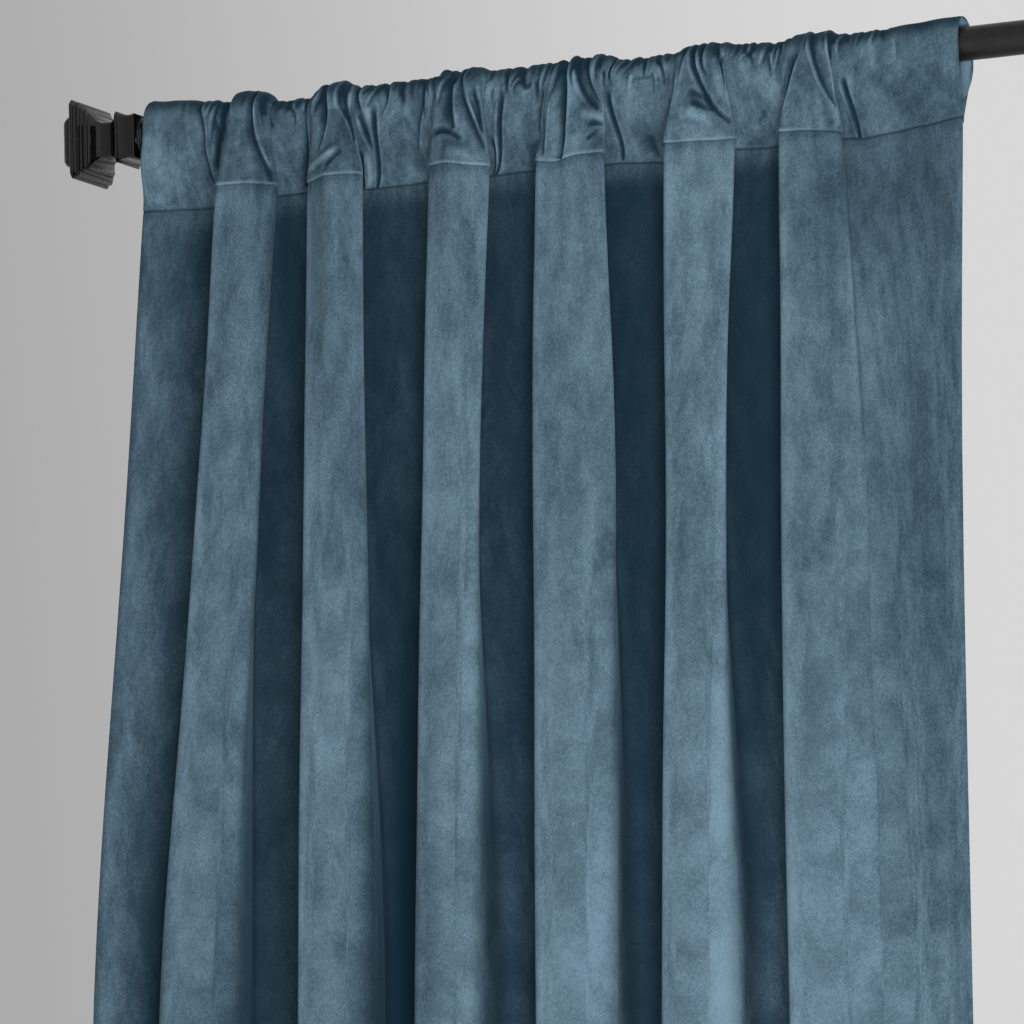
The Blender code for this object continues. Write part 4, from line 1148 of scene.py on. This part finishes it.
class Look:
    """A Principled material under construction."""

    def __init__(self, name):
        self.material = bpy.data.materials.new(name)
        self.material.use_nodes = True
        self.tree = self.material.node_tree
        self.shader = self.tree.nodes["Principled BSDF"]

    def set(self, **values):
        for name, value in values.items():
            self.shader.inputs[name.replace("_", " ")].default_value = value

    def colour(self, factor, dark, light):
        mixed = new_node(self.tree, "ShaderNodeMix", (("Factor", factor), ("A", dark), ("B", light)),
                     data_type="RGBA")
        self.tree.links.new(mixed.outputs["Result"], self.shader.inputs["Base Color"])

    def bump(self, height, strength, distance):
        bump = new_node(self.tree, "ShaderNodeBump", (
            ("Height", height), ("Strength", strength), ("Distance", distance)))
        self.tree.links.new(bump.outputs["Normal"], self.shader.inputs["Normal"])


def new_node(tree, kind, inputs, **settings):
    """A new node. Each of its inputs is linked to a socket or set to a value."""
    made = tree.nodes.new(kind)
    for name, value in settings.items():
        setattr(made, name, value)
    for name, value in inputs:
        if isinstance(value, bpy.types.NodeSocket):
            tree.links.new(value, made.inputs[name])
        else:
            made.inputs[name].default_value = value
    return made


def noise(tree, vector, scale, detail, roughness, distortion=0.0):
    """A noise stretched by scale (x, y, z)."""
    scaled = new_node(tree, "ShaderNodeMapping", (("Vector", vector), ("Scale", scale))).outputs["Vector"]
    return new_node(tree, "ShaderNodeTexNoise", (
        ("Vector", scaled), ("Scale", 1.0), ("Detail", detail), ("Roughness", roughness),
        ("Distortion", distortion))).outputs["Fac"]


def ranged(tree, value, low, high, to_low, to_high):
    return new_node(tree, "ShaderNodeMapRange", (
        ("Value", value), ("From Min", low), ("From Max", high), ("To Min", to_low), ("To Max", to_high),
    ), interpolation_type="SMOOTHSTEP").outputs["Result"]


def velvet_material():
    velvet = Look("velvet")
    spaces = velvet.tree.nodes.new("ShaderNodeTexCoord").outputs
    # The pile's tone with its painted light and shade, from the mesh.
    level = new_node(velvet.tree, "ShaderNodeAttribute", (), attribute_name="pile_tone_and_painted_light").outputs["Fac"]
    for layer in PILE_LAYERS:
        pattern = noise(velvet.tree, spaces[layer.space], layer.scale, layer.detail, layer.roughness,
                        layer.distortion)
        gain = ranged(velvet.tree, pattern, layer.low, layer.high, layer.gain_low, layer.gain_high)
        product = new_node(velvet.tree, "ShaderNodeMath", ((0, level), (1, gain)), operation="MULTIPLY")
        level = product.outputs["Value"]
    velvet.colour(ranged(velvet.tree, level, *PILE_RANGE, 0.0, 1.0), PILE_DARK, PILE_LIGHT)
    velvet.bump(noise(velvet.tree, spaces["Object"], *PILE_RELIEF), PILE_BUMP, PILE_DEPTH)
    velvet.set(**VELVET)
    return velvet.material


def black_paint(name, roughness, ior, level, cast_depth):
    """Paint of a dark level, worn a little unevenly, over the small bumps of the cast or drawn metal."""
    paint = Look(name)
    place = paint.tree.nodes.new("ShaderNodeTexCoord").outputs["Object"]
    worn = noise(paint.tree, place, *PAINT_WEAR)
    paint.colour(worn, *((red * level, green * level, blue * level, 1)
                         for red, green, blue in PAINT_LEVELS))
    less, more = ROUGHNESS_SPREAD
    rough = ranged(paint.tree, worn, *WORN_RANGE, roughness - less, roughness + more)
    paint.tree.links.new(rough, paint.shader.inputs["Roughness"])
    paint.bump(noise(paint.tree, place, *CAST_RELIEF), CAST_BUMP, cast_depth)
    paint.set(IOR=ior)
    return paint.material


# ---------------------------------------------------------------- build

curtain = mesh_object("velvet_curtain", *curtain_mesh())
curtain.data.materials.append(velvet_material())
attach(curtain, "root")
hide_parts("curtain_panel")

rod_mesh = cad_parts["curtain_rod"].data
rod_mesh.materials.clear()
rod_mesh.materials.append(black_paint("rod_metal", roughness=0.34, ior=1.45, level=0.006,
                                      cast_depth=0.0001))
finial_paint = black_paint("finial_metal", roughness=0.13, ior=1.5, level=0.002, cast_depth=0.0012)
for node in ("finial_left", "finial_right"):
    made = finial(node + "_fine", node == "finial_right")
    made.data.materials.append(finial_paint)
    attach(made, "root")
    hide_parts(node)


# ---------------------------------------------------------------- floor, light and camera

FLOOR_SIZE, FLOOR_GAP = 12.0, 12.0      # metres across, and millimetres below the hem
FLOOR = dict(Base_Color=(0.62, 0.61, 0.60, 1), Roughness=0.8)
KEY_PLACE, KEY_AIM, KEY_WATTS, KEY_SIZE = (1.7, -3.2, -1.4), (0, 0, -0.6), 165, 1.3
# The room's light by direction, from one number to another, and its strength at both.
WALL, ROOM, BEHIND = (-0.49, -0.36, 0.40, 0.68), (-0.8, 0.8, 0.36, 0.66), (-0.1, 0.35, 0.0, 1.0)


def add_floor():
    bpy.ops.mesh.primitive_plane_add(size=FLOOR_SIZE, location=(0, 0, (HEM_Z - FLOOR_GAP) * METRES))
    floor = bpy.context.object
    floor.name = "floor"
    pale = Look("floor")
    pale.set(**FLOOR)
    floor.data.materials.append(pale.material)


def add_key_light():
    data = bpy.data.lights.new("key", "AREA")
    data.energy, data.size = KEY_WATTS, KEY_SIZE
    made = bpy.data.objects.new("key", data)
    made.location = KEY_PLACE
    made.rotation_euler = (Vector(KEY_AIM) - made.location).to_track_quat("-Z", "Y").to_euler()
    bpy.context.scene.collection.objects.link(made)


def add_world():
    """Soft light from all round: a room that is brighter to the right, and a wall behind the part."""
    world = bpy.data.worlds.new("studio")
    bpy.context.scene.world = world
    world.use_nodes = True
    tree = world.node_tree
    around = tree.nodes.new("ShaderNodeTexCoord").outputs["Generated"]
    x, y, _ = new_node(tree, "ShaderNodeSeparateXYZ", (("Vector", around),)).outputs
    behind, room, wall = ranged(tree, y, *BEHIND), ranged(tree, x, *ROOM), ranged(tree, x, *WALL)
    mixed = new_node(tree, "ShaderNodeMix", (("Factor", behind), ("A", room), ("B", wall)))
    tree.links.new(mixed.outputs["Result"], tree.nodes["Background"].inputs["Strength"])
    tree.nodes["Background"].inputs["Color"].default_value = (1, 1, 1, 1)


# Camera: turn, tilt and roll in degrees, distance and aim in millimetres, scale in pixels per millimetre.
CAMERA_TURN, CAMERA_TILT, CAMERA_ROLL = 25.07, 10.5, 0.35
CAMERA_DISTANCE, CAMERA_SCALE = 6000.0, 1.34
AIM_X, AIM_Z = 307.56, -318.49
PICTURE, SENSOR = 1024, 36.0


def add_camera():
    """Turned, tilted and rolled, so far off that it sees almost in parallel."""
    turn, tilt, roll = (math.radians(a) for a in (CAMERA_TURN, CAMERA_TILT, CAMERA_ROLL))
    forward = Vector((-math.sin(turn) * math.cos(tilt), math.cos(turn) * math.cos(tilt), math.sin(tilt)))
    right = Vector((math.cos(turn), math.sin(turn), 0))
    up = right.cross(forward)
    across = right * math.cos(roll) - up * math.sin(roll)
    upward = right * math.sin(roll) + up * math.cos(roll)
    place = (Vector((AIM_X - ORIGIN_X, 0, AIM_Z)) - forward * CAMERA_DISTANCE) * METRES
    data = bpy.data.cameras.new("camera")
    data.sensor_width = SENSOR
    data.lens = CAMERA_SCALE * CAMERA_DISTANCE / PICTURE * SENSOR
    data.clip_end = 100.0
    camera = bpy.data.objects.new("camera", data)
    camera.matrix_world = Matrix((
        (across.x, upward.x, -forward.x, place.x), (across.y, upward.y, -forward.y, place.y),
        (across.z, upward.z, -forward.z, place.z), (0, 0, 0, 1)))
    bpy.context.scene.collection.objects.link(camera)
    bpy.context.scene.camera = camera


add_floor()
add_world()
add_key_light()
add_camera()
bpy.context.scene.view_settings.view_transform = "Standard"
